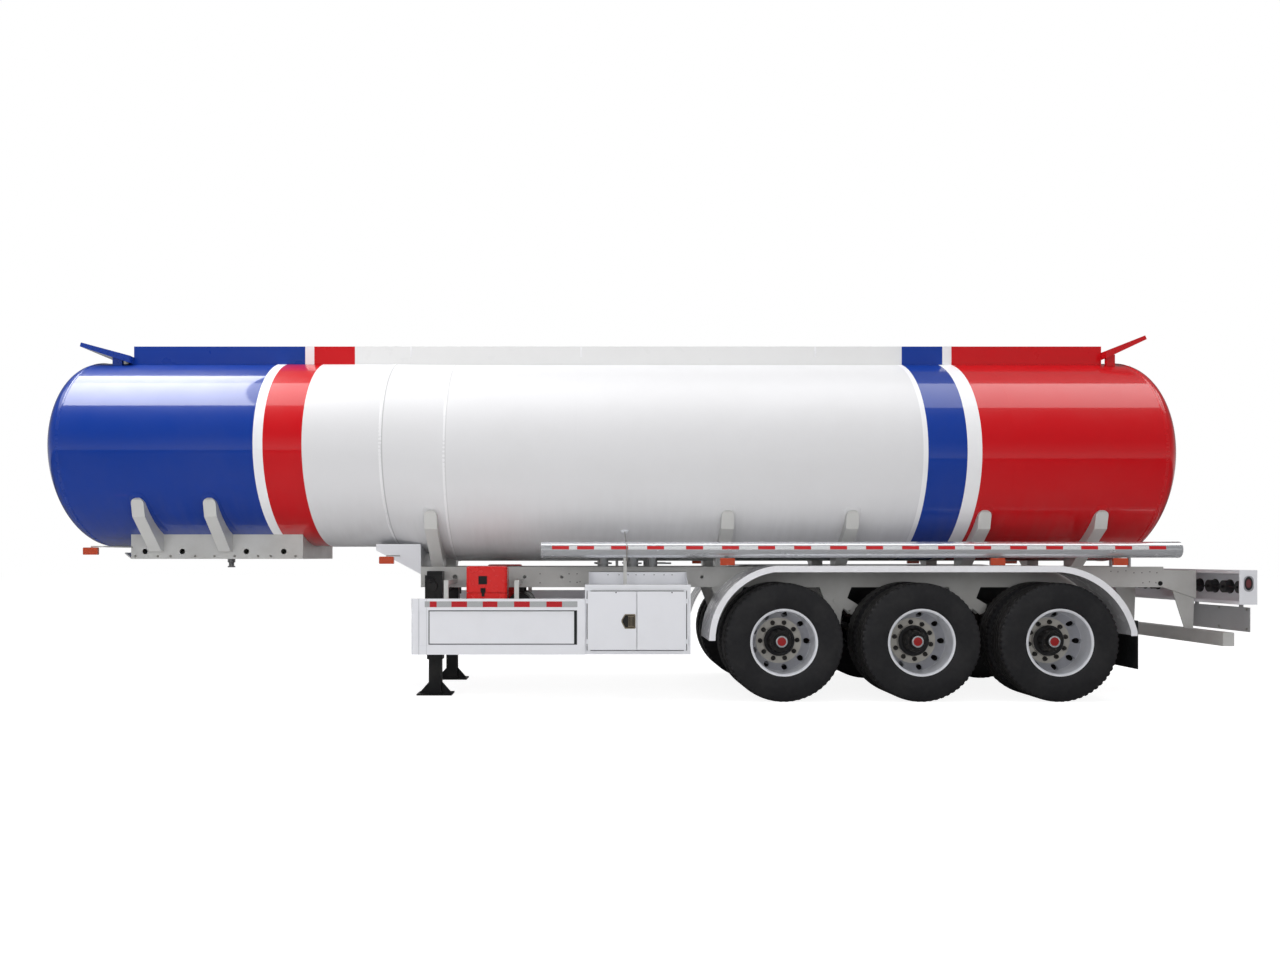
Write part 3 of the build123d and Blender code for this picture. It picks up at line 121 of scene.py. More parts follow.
class Shader:
    """A material's node tree, with short calls for the nodes that the finishes share."""

    def __init__(self, name, rgb, rough, metal=0.0, coat=0.0):
        self.mat = bpy.data.materials.new(name)
        self.mat.use_nodes = True
        self.tree = self.mat.node_tree
        self.bsdf = self.tree.nodes["Principled BSDF"]
        self.coords = self.node("TexCoord").outputs["Object"]
        for setting, value in (("Base Color", linear(rgb)), ("Roughness", rough), ("Metallic", metal),
                               ("Coat Weight", coat), ("Coat Roughness", 0.05)):
            self.set(setting, value)

    def node(self, kind, **settings):
        made = self.tree.nodes.new("ShaderNode" + kind)
        for name, value in settings.items():
            setattr(made, name, value)
        return made

    def plug(self, socket, value):
        """A number, a colour or another node's output goes into a socket."""
        if isinstance(value, (int, float, tuple)):
            socket.default_value = value
        else:
            self.tree.links.new(value, socket)

    def set(self, name, value):
        self.plug(self.bsdf.inputs[name], value)

    def math(self, operation, a, b=0.0):
        made = self.node("Math", operation=operation)
        self.plug(made.inputs[0], a)
        self.plug(made.inputs[1], b)
        return made.outputs[0]

    def product(self, first, *others):
        for value in others:
            first = self.math("MULTIPLY", first, value)
        return first

    def off(self, value, centre):
        """Distance of a value from a centre."""
        return self.math("ABSOLUTE", self.math("SUBTRACT", value, centre))

    def length(self, a, b):
        """Length of a vector with these two parts."""
        return self.math("SQRT", self.math("ADD", self.math("MULTIPLY", a, a), self.math("MULTIPLY", b, b)))

    def between(self, value, low, high):
        return self.product(self.math("GREATER_THAN", value, low), self.math("LESS_THAN", value, high))

    def ripple(self, value, pitch):
        """Ridges from 0 to 1, one for each pitch."""
        return self.math("ABSOLUTE", self.math("SINE", self.math("MULTIPLY", value, math.pi / pitch)))

    def place(self, axis):
        """One coordinate in the row frame."""
        split = self.node("SeparateXYZ")
        self.plug(split.inputs[0], self.coords)
        return split.outputs["XYZ".index(axis)]

    def radius(self, x=0.0, z=0.0):
        """Distance from a wheel's axle line."""
        along, up = self.math("SUBTRACT", self.place("X"), x), self.math("SUBTRACT", self.place("Z"), z)
        return self.length(along, up)

    def noise(self, scale, detail=3.0, stretch=None, rough=0.5):
        made = self.node("TexNoise")
        for name, value in (("Scale", scale), ("Detail", detail), ("Roughness", rough)):
            made.inputs[name].default_value = value
        coords = self.coords
        if stretch:
            mapping = self.node("Mapping")
            mapping.inputs["Scale"].default_value = stretch
            self.plug(mapping.inputs["Vector"], self.coords)
            coords = mapping.outputs["Vector"]
        self.plug(made.inputs["Vector"], coords)
        return made.outputs["Fac"]

    def cells(self):
        """Distance from the edges of the small cells in reflective tape."""
        made = self.node("TexVoronoi", feature="DISTANCE_TO_EDGE")
        made.inputs["Scale"].default_value = TAPE_CELLS
        self.plug(made.inputs["Vector"], self.coords)
        return made.outputs["Distance"]

    def remap(self, value, low, high, out_low=0.0, out_high=1.0):
        made = self.node("MapRange")
        for name, number in (("Value", value), ("From Min", low), ("From Max", high), ("To Min", out_low),
                             ("To Max", out_high)):
            self.plug(made.inputs[name], number)
        return made.outputs["Result"]

    def mix(self, fac, a, b, blend="MIX"):
        made = self.node("Mix", data_type="RGBA", blend_type=blend)
        self.plug(made.inputs["Factor"], fac)
        colours = [socket for socket in made.inputs if socket.type == "RGBA"]
        for socket, value in zip(colours, (a, b)):
            self.plug(socket, value)
        return next(socket for socket in made.outputs if socket.type == "RGBA")

    def steps(self, value, low, high, rows):
        """Colour that changes at places along a value: rows of (start, colour)."""
        ramp = self.node("ValToRGB")
        ramp.color_ramp.interpolation = "CONSTANT"
        elements = ramp.color_ramp.elements
        for number, (start, rgb) in enumerate(rows):
            place = max(0.0, (start - low) / (high - low))
            element = elements[number] if number < 2 else elements.new(place)
            element.position = place
            element.color = linear(rgb)
        self.plug(ramp.inputs["Fac"], self.remap(value, low, high))
        return ramp.outputs["Color"]

    def uneven(self, noise, low, high):
        """Roughness that drifts between two values."""
        self.set("Roughness", self.remap(noise, *NOISE_SPAN, low, high))

    def bump(self, height, strength, depth=FINE):
        """Adds to the bumps made so far."""
        made = self.node("Bump")
        self.plug(made.inputs["Strength"], strength)
        self.plug(made.inputs["Distance"], depth)
        self.plug(made.inputs["Height"], height)
        normal = self.bsdf.inputs["Normal"]
        if normal.is_linked:
            self.plug(made.inputs["Normal"], normal.links[0].from_socket)
        self.plug(normal, made.outputs["Normal"])

    def colour_so_far(self):
        return self.bsdf.inputs["Base Color"].links[0].from_socket


def grime(shader, base, amount, dirt=(120, 112, 100), scale=3.0):
    """Faint uneven dust over a base colour."""
    patch = shader.remap(shader.noise(scale, 6.0, rough=0.65), 0.45, 0.8, 0.0, amount)
    return shader.mix(patch, base, linear(dirt))


def paint(name, rgb, rough=0.32, coat=0.35, dust=0.08, peel=0.05):
    """Sprayed paint: orange peel, slightly uneven gloss and a little dust."""
    s = Shader(name, rgb, rough, coat=coat)
    s.set("Base Color", grime(s, linear(rgb), dust))
    s.uneven(s.noise(14.0), rough - 0.05, rough + 0.07)
    s.bump(s.noise(260.0, 2.0), peel)
    return s


def banded(name, rows, seams, bead_shade_lines=(), rough=0.34):
    """Tank paint: bands of colour, weld seams under the paint and a line of painted shade beside each bead."""
    s = Shader(name, WHITE, rough)
    s.set("Specular IOR Level", 0.2)
    x = s.place("X")
    colour = grime(s, s.steps(x, *TANK_SPAN, rows), 0.05, scale=1.2)
    # road film that thickens towards the belly
    film = s.remap(s.place("Z"), 1.9, 1.2, 0.0, 0.16)
    streaks = s.remap(s.noise(2.5, 6.0, (6.0, 1.0, 0.6)), 0.3, 0.75)
    colour = s.mix(s.product(film, streaks), colour, linear((126, 122, 116)))
    # painted shade: a dark line beside each raised bead, where the bead would cast shade
    for place, share in bead_shade_lines:
        colour = s.mix(s.remap(s.off(x, place), 0.008, 0.003, 0.0, share), colour, linear((120, 120, 122)))
    s.set("Base Color", colour)
    s.uneven(s.noise(5.0), rough - 0.04, rough + 0.06)
    coats = [(start, GLOSSY if rgb in (BLUE, RED) else DULL) for start, rgb in rows]
    s.set("Coat Weight", s.steps(x, *TANK_SPAN, coats))
    s.bump(s.noise(120.0, 2.0), 0.03)
    # the sheet's slight waves
    s.bump(s.noise(1.6, 2.0, (0.5, 1.0, 1.4)), 0.12, 0.004)
    for seam in seams:
        s.bump(s.remap(s.off(x, seam), 0.010, 0.0), 0.35, 0.0012)
    return s


SKIRT_SPAN = (-2.2, 0.0)
SKIRT_FACE_Y = 1.240
SKIRT_TAPE_X, SKIRT_TAPE_Z = (-1.884, -0.544), (0.838, 0.889)
SKIRT_REDS = [(photo_x(start, -1.25), photo_x(end, -1.25)) for start, end in
              ((429.6, 436.2), (450.6, 466.8), (482.4, 497.2), (513.4, 529.6), (545.8, 562.0))]
PANEL_X, PANEL_Z = (-1.847, -0.552), (0.513, 0.806)
FOLD_SHADES = ((-1.936, 0.005, 0.35), (-1.868, 0.004, 0.25))  # rows of (x, half width, darkness of the painted shade)


def skirt_paint(name):
    """White paint with a strip of red and grey tape, and a pressed panel with a gap along its rear end;
    painted shade darkens the panel's groove, its folds and the gap.
    """
    s = paint(name, PANEL_WHITE, 0.34, 0.3, 0.05)
    x, z = s.place("X"), s.place("Z")
    edges = [(SKIRT_TAPE_X[0], GREY_TAPE)]
    for start, end in SKIRT_REDS:
        edges += [(start, RED_TAPE), (end, GREY_TAPE)]
    tape_cells = s.remap(s.cells(), 0.02, 0.10, 0.82, 1.0)
    taped = s.mix(1.0, s.steps(x, *SKIRT_SPAN, edges), tape_cells, "MULTIPLY")
    outside = s.math("GREATER_THAN", s.math("ABSOLUTE", s.place("Y")), SKIRT_FACE_Y)
    on_tape = s.product(s.between(z, *SKIRT_TAPE_Z), s.between(x, *SKIRT_TAPE_X), outside)
    past_x = s.math("SUBTRACT", s.off(x, sum(PANEL_X) / 2), (PANEL_X[1] - PANEL_X[0]) / 2)
    past_z = s.math("SUBTRACT", s.off(z, sum(PANEL_Z) / 2), (PANEL_Z[1] - PANEL_Z[0]) / 2)
    groove_and_shade = s.remap(s.math("ABSOLUTE", s.math("MAXIMUM", past_x, past_z)), 0.0065, 0.003)
    s.bump(groove_and_shade, -0.8, 0.004)
    gap = s.product(s.remap(s.off(x, PANEL_X[1] - 0.010), 0.013, 0.011), s.math("LESS_THAN", past_z, 0.0))
    fold_shades = s.math("ADD", *[s.remap(s.off(x, place), half, 0.002, 0.0, dark) for place, half, dark in FOLD_SHADES])
    # painted shade: darker along the folds, in the pressed groove, and near black in the gap at the panel's
    # rear end
    colour = s.colour_so_far()
    for share, rgb in ((fold_shades, (120, 122, 126)), (groove_and_shade, (66, 68, 72)), (gap, (26, 27, 30))):
        colour = s.mix(share, colour, linear(rgb))
    s.set("Base Color", s.mix(on_tape, colour, taped))
    return s


def rubber(name, rgb=BLACK, rough=0.62, grain=180.0):
    s = Shader(name, rgb, rough)
    s.set("Base Color", grime(s, linear(rgb), 0.35, (70, 68, 64), 9.0))
    s.uneven(s.noise(30.0), rough - 0.08, rough + 0.1)
    s.bump(s.noise(grain), 0.12, 0.0008)
    return s


def metal(name, rgb, rough, scale=60.0, strength=0.06, stretch=None):
    """Bare metal: brushed or cast, by how far its grain is stretched."""
    s = Shader(name, rgb, rough, metal=0.72)
    grain = s.noise(scale, 4.0, stretch)
    s.uneven(grain, rough - 0.03, rough + 0.04)
    s.bump(grain, strength)
    return s


def plastic(name, rgb, rough=0.3, coat=0.0):
    s = Shader(name, rgb, rough, coat=coat)
    s.set("Base Color", grime(s, linear(rgb), 0.05, (90, 80, 76), 5.0))
    s.uneven(s.noise(20.0), rough - 0.02, rough + 0.03)
    s.bump(s.noise(300.0, 2.0), 0.015, 0.0005)
    return s


def lens(name, rgb, pitch=0.009):
    """Moulded lamp lens with small prisms behind a glossy face."""
    s = Shader(name, rgb, 0.16, coat=0.8)
    prisms = s.product(s.ripple(s.place("X"), pitch), s.ripple(s.place("Z"), pitch))
    dark = tuple(int(0.55 * value) for value in rgb)
    s.set("Base Color", s.mix(s.remap(prisms, 0.1, 0.8), linear(dark), linear(rgb)))
    s.bump(prisms, 0.5, 0.0015)
    return s


def rear_lamp(name, pitch=0.008):
    """Black lamp bodies with coloured lenses on the rear face and a red one in each end, by place."""
    s = plastic(name, BLACK, 0.36)
    x, z = s.place("X"), s.place("Z")
    y = s.math("ABSOLUTE", s.place("Y"))
    prisms = s.product(s.ripple(s.place("Y"), pitch), s.ripple(z, pitch))
    across = s.off(y, LAMP_Y[0])
    for centre in LAMP_Y[1:]:
        across = s.math("MINIMUM", across, s.off(y, centre))
    from_centre = s.length(across, s.math("SUBTRACT", z, LAMP_Z))
    on_face = s.math("GREATER_THAN", x, LAMP_FACE_X)
    on_lens = s.product(s.remap(from_centre, LENS_RADIUS + 0.0005, LENS_RADIUS - 0.0005), on_face)
    kinds = s.steps(y, 0.0, 1.3, [(0.0, (206, 206, 208)), (0.505, (176, 12, 18)), (0.975, (214, 96, 18))])
    lenses = s.mix(1.0, kinds, s.remap(prisms, 0.05, 0.7, 0.55, 1.0), "MULTIPLY")
    oval = s.length(s.math("DIVIDE", s.math("SUBTRACT", x, END_LAMP_X), END_LAMP_HALF[0]),
                    s.math("DIVIDE", s.math("SUBTRACT", z, END_LAMP_Z), END_LAMP_HALF[1]))
    at_end = s.math("GREATER_THAN", y, END_LAMP_Y)
    end_lens = s.product(at_end, s.remap(oval, 0.62, 0.50))
    end_rim = s.product(at_end, s.remap(oval, 0.86, 0.92))
    colour = s.mix(on_lens, s.colour_so_far(), lenses)
    colour = s.mix(end_lens, colour, linear((96, 18, 24)))
    s.set("Base Color", s.mix(end_rim, colour, linear((150, 151, 156))))
    s.set("Coat Weight", s.math("MAXIMUM", on_lens, end_lens))
    s.bump(s.product(prisms, on_lens), 0.4, 0.0012)
    return s


def tape(name, rgb):
    """Retroreflective tape: small cells with paler edges under a glossy film."""
    s = Shader(name, rgb, 0.28, coat=0.6)
    inside = s.remap(s.cells(), 0.02, 0.10)
    pale = tuple(min(255, int(value * 1.12) + 8) for value in rgb)
    s.set("Base Color", s.mix(inside, linear(pale), linear(rgb)))
    s.bump(inside, 0.1, 0.0004)
    return s


def checker_plate(name, pitch=0.034):
    """Aluminium tread sheet: raised lozenges in two directions."""
    s = metal(name, (204, 206, 208), 0.36, 40.0)
    x = s.math("MULTIPLY", s.place("X"), math.pi / pitch)
    y = s.math("MULTIPLY", s.place("Y"), math.pi / pitch)
    waves = s.product(s.math("SINE", s.math("ADD", x, y)), s.math("SINE", s.math("SUBTRACT", x, y)))
    s.bump(s.remap(s.math("ABSOLUTE", waves), 0.55, 0.85), 0.7, 0.0015)
    return s


# Rows of (radius, colour) from the hub out: hub, disc, disc's edge, rim and rim lip
WHEEL_ZONES = [(0.0, (18, 18, 19)), (0.1385, (170, 167, 160)), (0.2045, (176, 178, 186)),
               (0.262, (214, 216, 223)), (0.2845, (232, 234, 239))]


def wheel_steel(name, axle_x):
    """Silver rim, warmer grey disc and black hub, by distance from the axle line, with painted shade on
    everything behind the outer disc.
    """
    s = Shader(name, (180, 180, 184), 0.34, coat=0.3)
    r = s.radius(axle_x, WHEEL_Z)
    # painted shade: faces inboard of the outer disc, the inner wheel among them, turn dark grey
    shaded_behind_disc = s.remap(s.math("ABSOLUTE", s.place("Y")), 0.905, 0.900)
    colour = s.mix(shaded_behind_disc, s.steps(r, 0.0, 0.32, WHEEL_ZONES), linear((60, 60, 61)))
    s.set("Base Color", grime(s, colour, 0.14, (96, 88, 78), 12.0))
    s.set("Metallic", s.remap(r, 0.204, 0.206, 0.0, 0.25))
    s.uneven(s.noise(24.0), 0.28, 0.44)
    s.bump(s.noise(140.0), 0.05)
    return s


def tyre_rubber(name, ring_pitch=0.0065):
    """Sidewall with two zones of fine moulded rings, greyer on the tread."""
    s = Shader(name, (23, 23, 25), 0.56)
    r = s.radius()
    rings = s.math("SINE", s.math("MULTIPLY", r, math.tau / ring_pitch))
    inner = s.product(s.remap(r, 0.330, 0.334), s.remap(r, 0.352, 0.348))
    outer = s.product(s.remap(r, 0.440, 0.444), s.remap(r, 0.474, 0.470))
    wall = grime(s, linear((30, 30, 33)), 0.3, (62, 60, 59), 7.0)
    s.set("Base Color", s.mix(s.remap(r, 0.515, 0.524), wall, linear((44, 43, 43))))
    s.uneven(s.noise(26.0), 0.46, 0.64)
    s.bump(s.product(rings, s.math("ADD", inner, outer)), 0.35, 0.0009)
    s.bump(s.noise(220.0), 0.10)
    return s


TANK_BANDS = [(-5.5, BLUE), (-3.414, EDGE), (-3.321, RED), (-2.981, EDGE), (-2.972, WHITE), (2.484, EDGE),
              (2.493, BLUE), (2.872, EDGE), (2.966, RED)]
GUARD_BANDS = [(-5.5, BLUE), (-3.149, EDGE), (-3.063, RED), (-2.692, EDGE), (-2.683, GUARD_WHITE),
               (2.520, BLUE), (2.881, EDGE), (2.977, RED)]
TANK_SEAMS = (-3.60, -0.55, 1.71, 3.30)
TANK_BEAD_SHADE_LINES = ((-2.263, 0.40), (-1.706, 0.15))  # rows of (x, darkness of the painted shade)
GUARD_SEAMS = (-2.131, -0.514, 1.712)

mats = {
    "tank": banded("tank_paint_bands", TANK_BANDS, TANK_SEAMS, TANK_BEAD_SHADE_LINES),
    "guard": banded("guard_paint_bands", GUARD_BANDS, GUARD_SEAMS, rough=0.3),
    "blue": paint("blue_gloss", BLUE, 0.28, 0.6, peel=0.02),
    "red": paint("red_gloss", RED, 0.28, 0.6, peel=0.02),
    "white": paint("white_panel_paint", PANEL_WHITE, 0.34, 0.3, 0.05),
    "skirt": skirt_paint("skirt_paint"),
    "frame": paint("chassis_paint", (190, 190, 188), 0.42, 0.1, 0.22),
    # a shade paler than the tank's white, so the raised beads carry a painted highlight
    "bead": paint("bead_paint_with_highlight", EDGE, 0.3, 0.3, 0.02),
    "saddle": paint("saddle_paint", (206, 206, 204), 0.36, 0.3, 0.08),
    "mudguard": paint("mudguard_paint", (232, 232, 236), 0.24, 0.5, 0.06),
    "black": paint("black_paint", (22, 23, 25), 0.42, 0.2, 0.18),
    "spring": paint("spring_black", (30, 30, 31), 0.55, 0.0, 0.35, 0.15),
    "nut": paint("nut_black", (30, 29, 28), 0.4, 0.1, 0.2),
    "plate": paint("plate_grey", (176, 176, 178), 0.4, 0.1, 0.14),
    "steel": metal("plain_steel", (150, 150, 152), 0.38),
    "stainless": metal("stainless_tube", (232, 234, 238), 0.24, 14.0, 0.0, (0.3, 3.0, 3.0)),
    "chrome": metal("bright_trim", (224, 226, 230), 0.10, 20.0, 0.02),
    "alu": metal("satin_aluminium", (196, 198, 200), 0.33),
    "tread": checker_plate("tread_plate"),
    "zinc": metal("zinc_bolts", (168, 166, 160), 0.36, 90.0),
    "bronze": metal("latch_bronze", (150, 138, 118), 0.3, 120.0),
    "rubber": rubber("black_rubber"),
    "flap": rubber("flap_rubber", (26, 27, 29), 0.55, 90.0),
    "tyre": tyre_rubber("tyre_rubber"),
    "red_plastic": plastic("red_plastic", (206, 14, 12), 0.26, 0.3),
    "cap_red": plastic("cap_red", (150, 16, 18), 0.3, 0.3),
    "black_plastic": plastic("black_plastic", BLACK, 0.38),
    "shadow": plastic("dark_gap", (26, 26, 28), 0.7),
    "amber": lens("amber_lens", (226, 74, 20)),
    "rear_lamp": rear_lamp("rear_lamp"),
    "tape_red": tape("tape_red", (190, 14, 24)),
    "tape_white": tape("tape_white", (206, 208, 210)),
}

FINISHES = {
    "tank": ("tank_barrel", "tank_heads"),
    "guard": ("roof_guards",),
    "tread": ("walkway",),
    "blue": ("front_wing",),
    "red": ("rear_wing",),
    "alu": ("manhole_collars", "manhole_lid_1", "manhole_lid_2", "manhole_lid_3", "outlets", "ladder"),
    "frame": ("vent_pipe", "coupler", "frame_beams", "crossmembers", "spring_hangers", "equalisers",
              "side_brackets", "tail_frame"),
    "saddle": ("tank_saddles",),
    "steel": ("kingpin",),
    "white": ("belly_fairing", "cabinets", "door_left_front", "door_left_rear", "door_right_front",
              "door_right_rear", "light_bar"),
    "spring": ("leaf_springs", "spring_clamps", "axles", "torque_arms"),
    "black": ("brake_chambers", "landing_gear", "air_tanks"),
    "mudguard": ("mudguards",),
    "flap": ("mudflaps",),
    "skirt": ("skirts",),
    "red_plastic": ("extinguisher_cases", "extinguisher_lid_left", "extinguisher_lid_right"),
    "stainless": ("side_tubes",),
    "amber": ("marker_lamps",),
    "rear_lamp": ("rear_lamps",),
    "rubber": ("lamp_cables",),
    "plate": ("plate_panel",),
}


def dress(node, finish):
    """Gives a CAD node its finish."""
    slots = nodes[node].data.materials
    if not slots:
        slots.append(finish.mat)
    for index in range(len(slots)):
        slots[index] = finish.mat


for finish, dressed in FINISHES.items():
    for node in dressed:
        dress(node, mats[finish])
for number, axle_x in enumerate(AXLES, start=1):
    steel = wheel_steel(f"wheel_paint_{number}", axle_x)
    for side, sign in SIDES:
        dress(f"wheel_{number}_{side}", steel)
        dress(f"tyres_{number}_{side}", mats["tyre"])


# Mesh helpers

def angles(count, start=0.0):
    """Equal steps of one turn."""
    return [math.tau * step / count + start for step in range(count)]


class Build:
    """Collects vertices and faces, then makes one object. A mark is the number of a face's material."""

    def __init__(self):
        self.verts = []
        self.faces = []
        self.marks = []

    def add(self, verts, faces, mark=0):
        start = len(self.verts)
        self.verts.extend(verts)
        self.faces.extend(tuple(index + start for index in face) for face in faces)
        self.marks.extend([mark] * len(faces))

    def box(self, sign, x0, x1, y0, y1, z0, z1, mark=0):
        """Box on one side of the trailer, with y0 and y1 as distances from its middle."""
        corners = [(x, y, z) for x in (x0, x1) for y in sorted((sign * y0, sign * y1)) for z in (z0, z1)]
        faces = [(0, 1, 3, 2), (4, 6, 7, 5), (0, 4, 5, 1), (2, 3, 7, 6), (0, 2, 6, 4), (1, 5, 7, 3)]
        self.add(corners, faces, mark)

    def hoops(self, rows, mark=0):
        """Solid skin over rows of points that each go round once."""
        count = len(rows[0])
        last = (len(rows) - 1) * count
        faces = []
        for low in range(0, last, count):
            high = low + count
            faces += [(low + n, low + (n + 1) % count, high + (n + 1) % count, high + n) for n in range(count)]
        faces += [tuple(reversed(range(count))), tuple(range(last, last + count))]
        self.add([point for row in rows for point in row], faces, mark)

    def lathe(self, place, axis, profile, count=24, mark=0, turn=0.0):
        """Solid turned about an axis through a place: profile rows of (along, radius)."""
        axis = Vector(axis).normalized()
        side = axis.orthogonal().normalized()
        other = axis.cross(side)
        self.hoops([[tuple(Vector(place) + axis * along + (side * math.cos(a) + other * math.sin(a)) * radius)
                     for a in angles(count, turn)] for along, radius in profile], mark)

    def tube(self, points, radius, count=16, mark=0):
        """Round bar along points."""
        points = [Vector(p) for p in points]
        side = None
        rows = []
        for before, point, after in zip(points[:1] + points, points, points[1:] + points[-1:]):
            run = (after - before).normalized()
            side = (run.orthogonal() if side is None else side - run * side.dot(run)).normalized()
            other = run.cross(side)
            rows.append([tuple(point + (side * math.cos(a) + other * math.sin(a)) * radius)
                         for a in angles(count)])
        self.hoops(rows, mark)

    def bolt(self, place, axis, size, mark=0):
        """Washer, hexagon head and a slightly domed top."""
        washer, shoulder, top = size * 0.18, size * 0.72, size * 0.82
        self.lathe(place, axis, [(0, size), (washer, size)], 16, mark)
        self.lathe(place, axis, [(washer, size * 0.8), (shoulder, size * 0.8), (top, size * 0.62)], 6, mark)

    def bolt_ring(self, centre, axis, circle, count, size, start=0.0, mark=0):
        """Bolts round a circle about an axis along Y or Z."""
        x, y, z = centre
        for a in angles(count, start):
            across, round_up = circle * math.cos(a), circle * math.sin(a)
            place = (x + across, y, z + round_up) if axis[1] else (x + across, y + round_up, z)
            self.bolt(place, axis, size, mark)

    def strip(self, rows, mark=0, closed=False):
        """Sheet through rows of points, all the same length. A closed one joins its last row to its first."""
        width, count = len(rows[0]), len(rows)
        faces = []
        for number in range(count if closed else count - 1):
            low, high = number * width, (number + 1) % count * width
            faces += [(low + n, low + n + 1, high + n + 1, high + n) for n in range(width - 1)]
        self.add([point for row in rows for point in row], faces, mark)

    def prism(self, outline, far_outline, mark=0):
        """Flat-ended solid between two matching outlines."""
        count = len(outline)
        faces = [tuple(range(count)), tuple(reversed(range(count, 2 * count)))]
        faces += [(n, (n + 1) % count, count + (n + 1) % count, count + n) for n in range(count)]
        self.add(outline + far_outline, faces, mark)

    def plate(self, sign, outline, y0, y1, mark=0):
        """Flat plate on one side of the trailer, from an outline of (x, z)."""
        self.prism(*[[(x, y, z) for x, z in outline] for y in sorted((sign * y0, sign * y1))], mark)

    def finish(self, name, body, finishes, slot, smooth=None, place=(0, 0, 0)):
        """Object at a place, smooth up to that many degrees between faces."""
        mesh = bpy.data.meshes.new(name)
        mesh.from_pydata(self.verts, [], self.faces)
        for key in finishes:
            mesh.materials.append(mats[key].mat)
        for face, mark in zip(mesh.polygons, self.marks):
            face.material_index = mark
        mesh.validate()
        mesh.update()
        made = bpy.data.objects.new(name, mesh)
        made.location = place
        bpy.context.scene.collection.objects.link(made)
        if smooth:
            mesh.shade_smooth()
            mesh.set_sharp_from_angle(angle=math.radians(smooth))
        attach(made, body)
        return made


def soften(piece, width):
    """Rounded edges."""
    bevel = piece.modifiers.new("edges", "BEVEL")
    bevel.width = width
    bevel.segments = 2
    bevel.limit_method = "ANGLE"
    bevel.angle_limit = math.radians(40)


def bend(points, radius):
    """Rounds the corners of a pipe's route."""
    points = [Vector(p) for p in points]
    out = [points[0]]
    for before, corner, after in zip(points, points[1:], points[2:]):
        start = corner + (before - corner).normalized() * radius
        end = corner + (after - corner).normalized() * radius
        for step in range(6):
            t = step / 5
            out.append(start * (1 - t) ** 2 + corner * 2 * t * (1 - t) + end * t ** 2)
    return out + [points[-1]]


# Camera at the photograph's place

bpy.context.scene.view_settings.view_transform = "Standard"
camera_data = bpy.data.cameras.new("camera")
camera_data.lens = 30.46
camera_data.sensor_width = 36
camera_data.shift_x = 0.0445
camera_data.shift_y = 0.060
camera_data.clip_end = 200
camera = bpy.data.objects.new("camera", camera_data)
camera.location = CAMERA
camera.rotation_euler = (math.pi / 2, 0, 0)
bpy.context.scene.collection.objects.link(camera)
bpy.context.scene.camera = camera


# Tyres

CROWN = 0.5248
GROOVES = (0.027, 0.074)  # places across the tread, from its middle
GROOVE_HALF, GROOVE_WALL, GROOVE_DEPTH = 0.0065, 0.002, 0.013
SHOULDER = (0.088, 0.5245)
# rows of (offset, radius) from the bead out
TREAD_SIDE = ((0.107, 0.2866), (0.113, 0.2985), (0.1235, 0.312), (0.1290, 0.330), (0.1365, 0.365),
              (0.1392, 0.400), (0.1375, 0.432), (0.1320, 0.462), (0.1262, 0.486), (0.1225, 0.497),
              (0.1190, 0.5120), (0.1110, 0.5215), (0.1040, 0.5235))
LUG_ROOT, LUG_EDGE, LUG_TOP = 0.49, 0.505, 0.51  # radii where lugs start, deepen and lean
LUG_DEPTH, ROOT_DEPTH, LUG_LEAN = 0.0085, 0.004, 0.010
LUGS, LUG_STEPS, GAP_STEPS = 60, 5, 2  # lugs round the tread, steps for each, and how many are gap


def tyre_section():
    """Half section outwards from the crown: rows of (offset, radius, whether lugs are cut there)."""
    rows = []
    for place in GROOVES:
        for way in (-1, 1):
            edge = (place + way * GROOVE_HALF, CROWN, False)
            foot = (place + way * (GROOVE_HALF - GROOVE_WALL), CROWN - GROOVE_DEPTH, False)
            rows += (edge, foot) if way < 0 else (foot, edge)
    rows.append((*SHOULDER, True))
    return rows + [(offset, radius, radius > LUG_ROOT) for offset, radius in reversed(TREAD_SIDE)]


def tyre(build, centre_y):
    """Tread and sidewalls about the wheel's centre, with lugs cut round both shoulders."""
    half = tyre_section()
    section = [(-offset, radius, lug) for offset, radius, lug in reversed(half)] + half
    rows = []
    for step, angle in enumerate(angles(LUGS * LUG_STEPS)):
        in_gap = step % LUG_STEPS < GAP_STEPS
        row = []
        for offset, radius, lug in section:
            turn = angle + (math.copysign(LUG_LEAN, offset) if lug and radius > LUG_TOP else 0.0)
            depth = (LUG_DEPTH if radius > LUG_EDGE else ROOT_DEPTH) if lug and in_gap else 0.0
            reach = radius - depth
            row.append((reach * math.cos(turn), centre_y + offset, reach * math.sin(turn)))
        rows.append(row)
    build.strip(rows, closed=True)


for number, axle_x in enumerate(AXLES, start=1):
    for side, sign in SIDES:
        build = Build()
        for y in (OUTER_TYRE_Y, INNER_TYRE_Y):
            tyre(build, sign * y)
        piece = build.finish(f"tyre_pair_{number}_{side}", f"wheels_{number}_{side}", ["tyre"],
                             "tyre_rubber", 38, (axle_x, 0, WHEEL_Z))
        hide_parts(f"tyres_{number}_{side}")


# Wheel nuts and hub caps: profiles are rows of (along, radius)

NUT_WASHER = ((0, 0.0215), (0.005, 0.0215), (0.006, 0.019))
NUT_HEAD = ((0.006, 0.0185), (0.026, 0.0185), (0.029, 0.0155))
NUT_STUD = ((0.029, 0.0095), (0.040, 0.0095), (0.042, 0.008))
CAP_RIM = ((-0.004, 0.0515), (0.0035, 0.0515), (0.0045, 0.0500), (0.0045, 0.0400), (0.0030, 0.0392))
CAP_FACE = ((0.0, 0.0388), (0.0035, 0.0388), (0.0048, 0.030), (0.0052, 0.012))
HUB_BOLT_CIRCLE, HUB_BOLT_Y = 0.0765, HUB_FACE_Y - 0.035

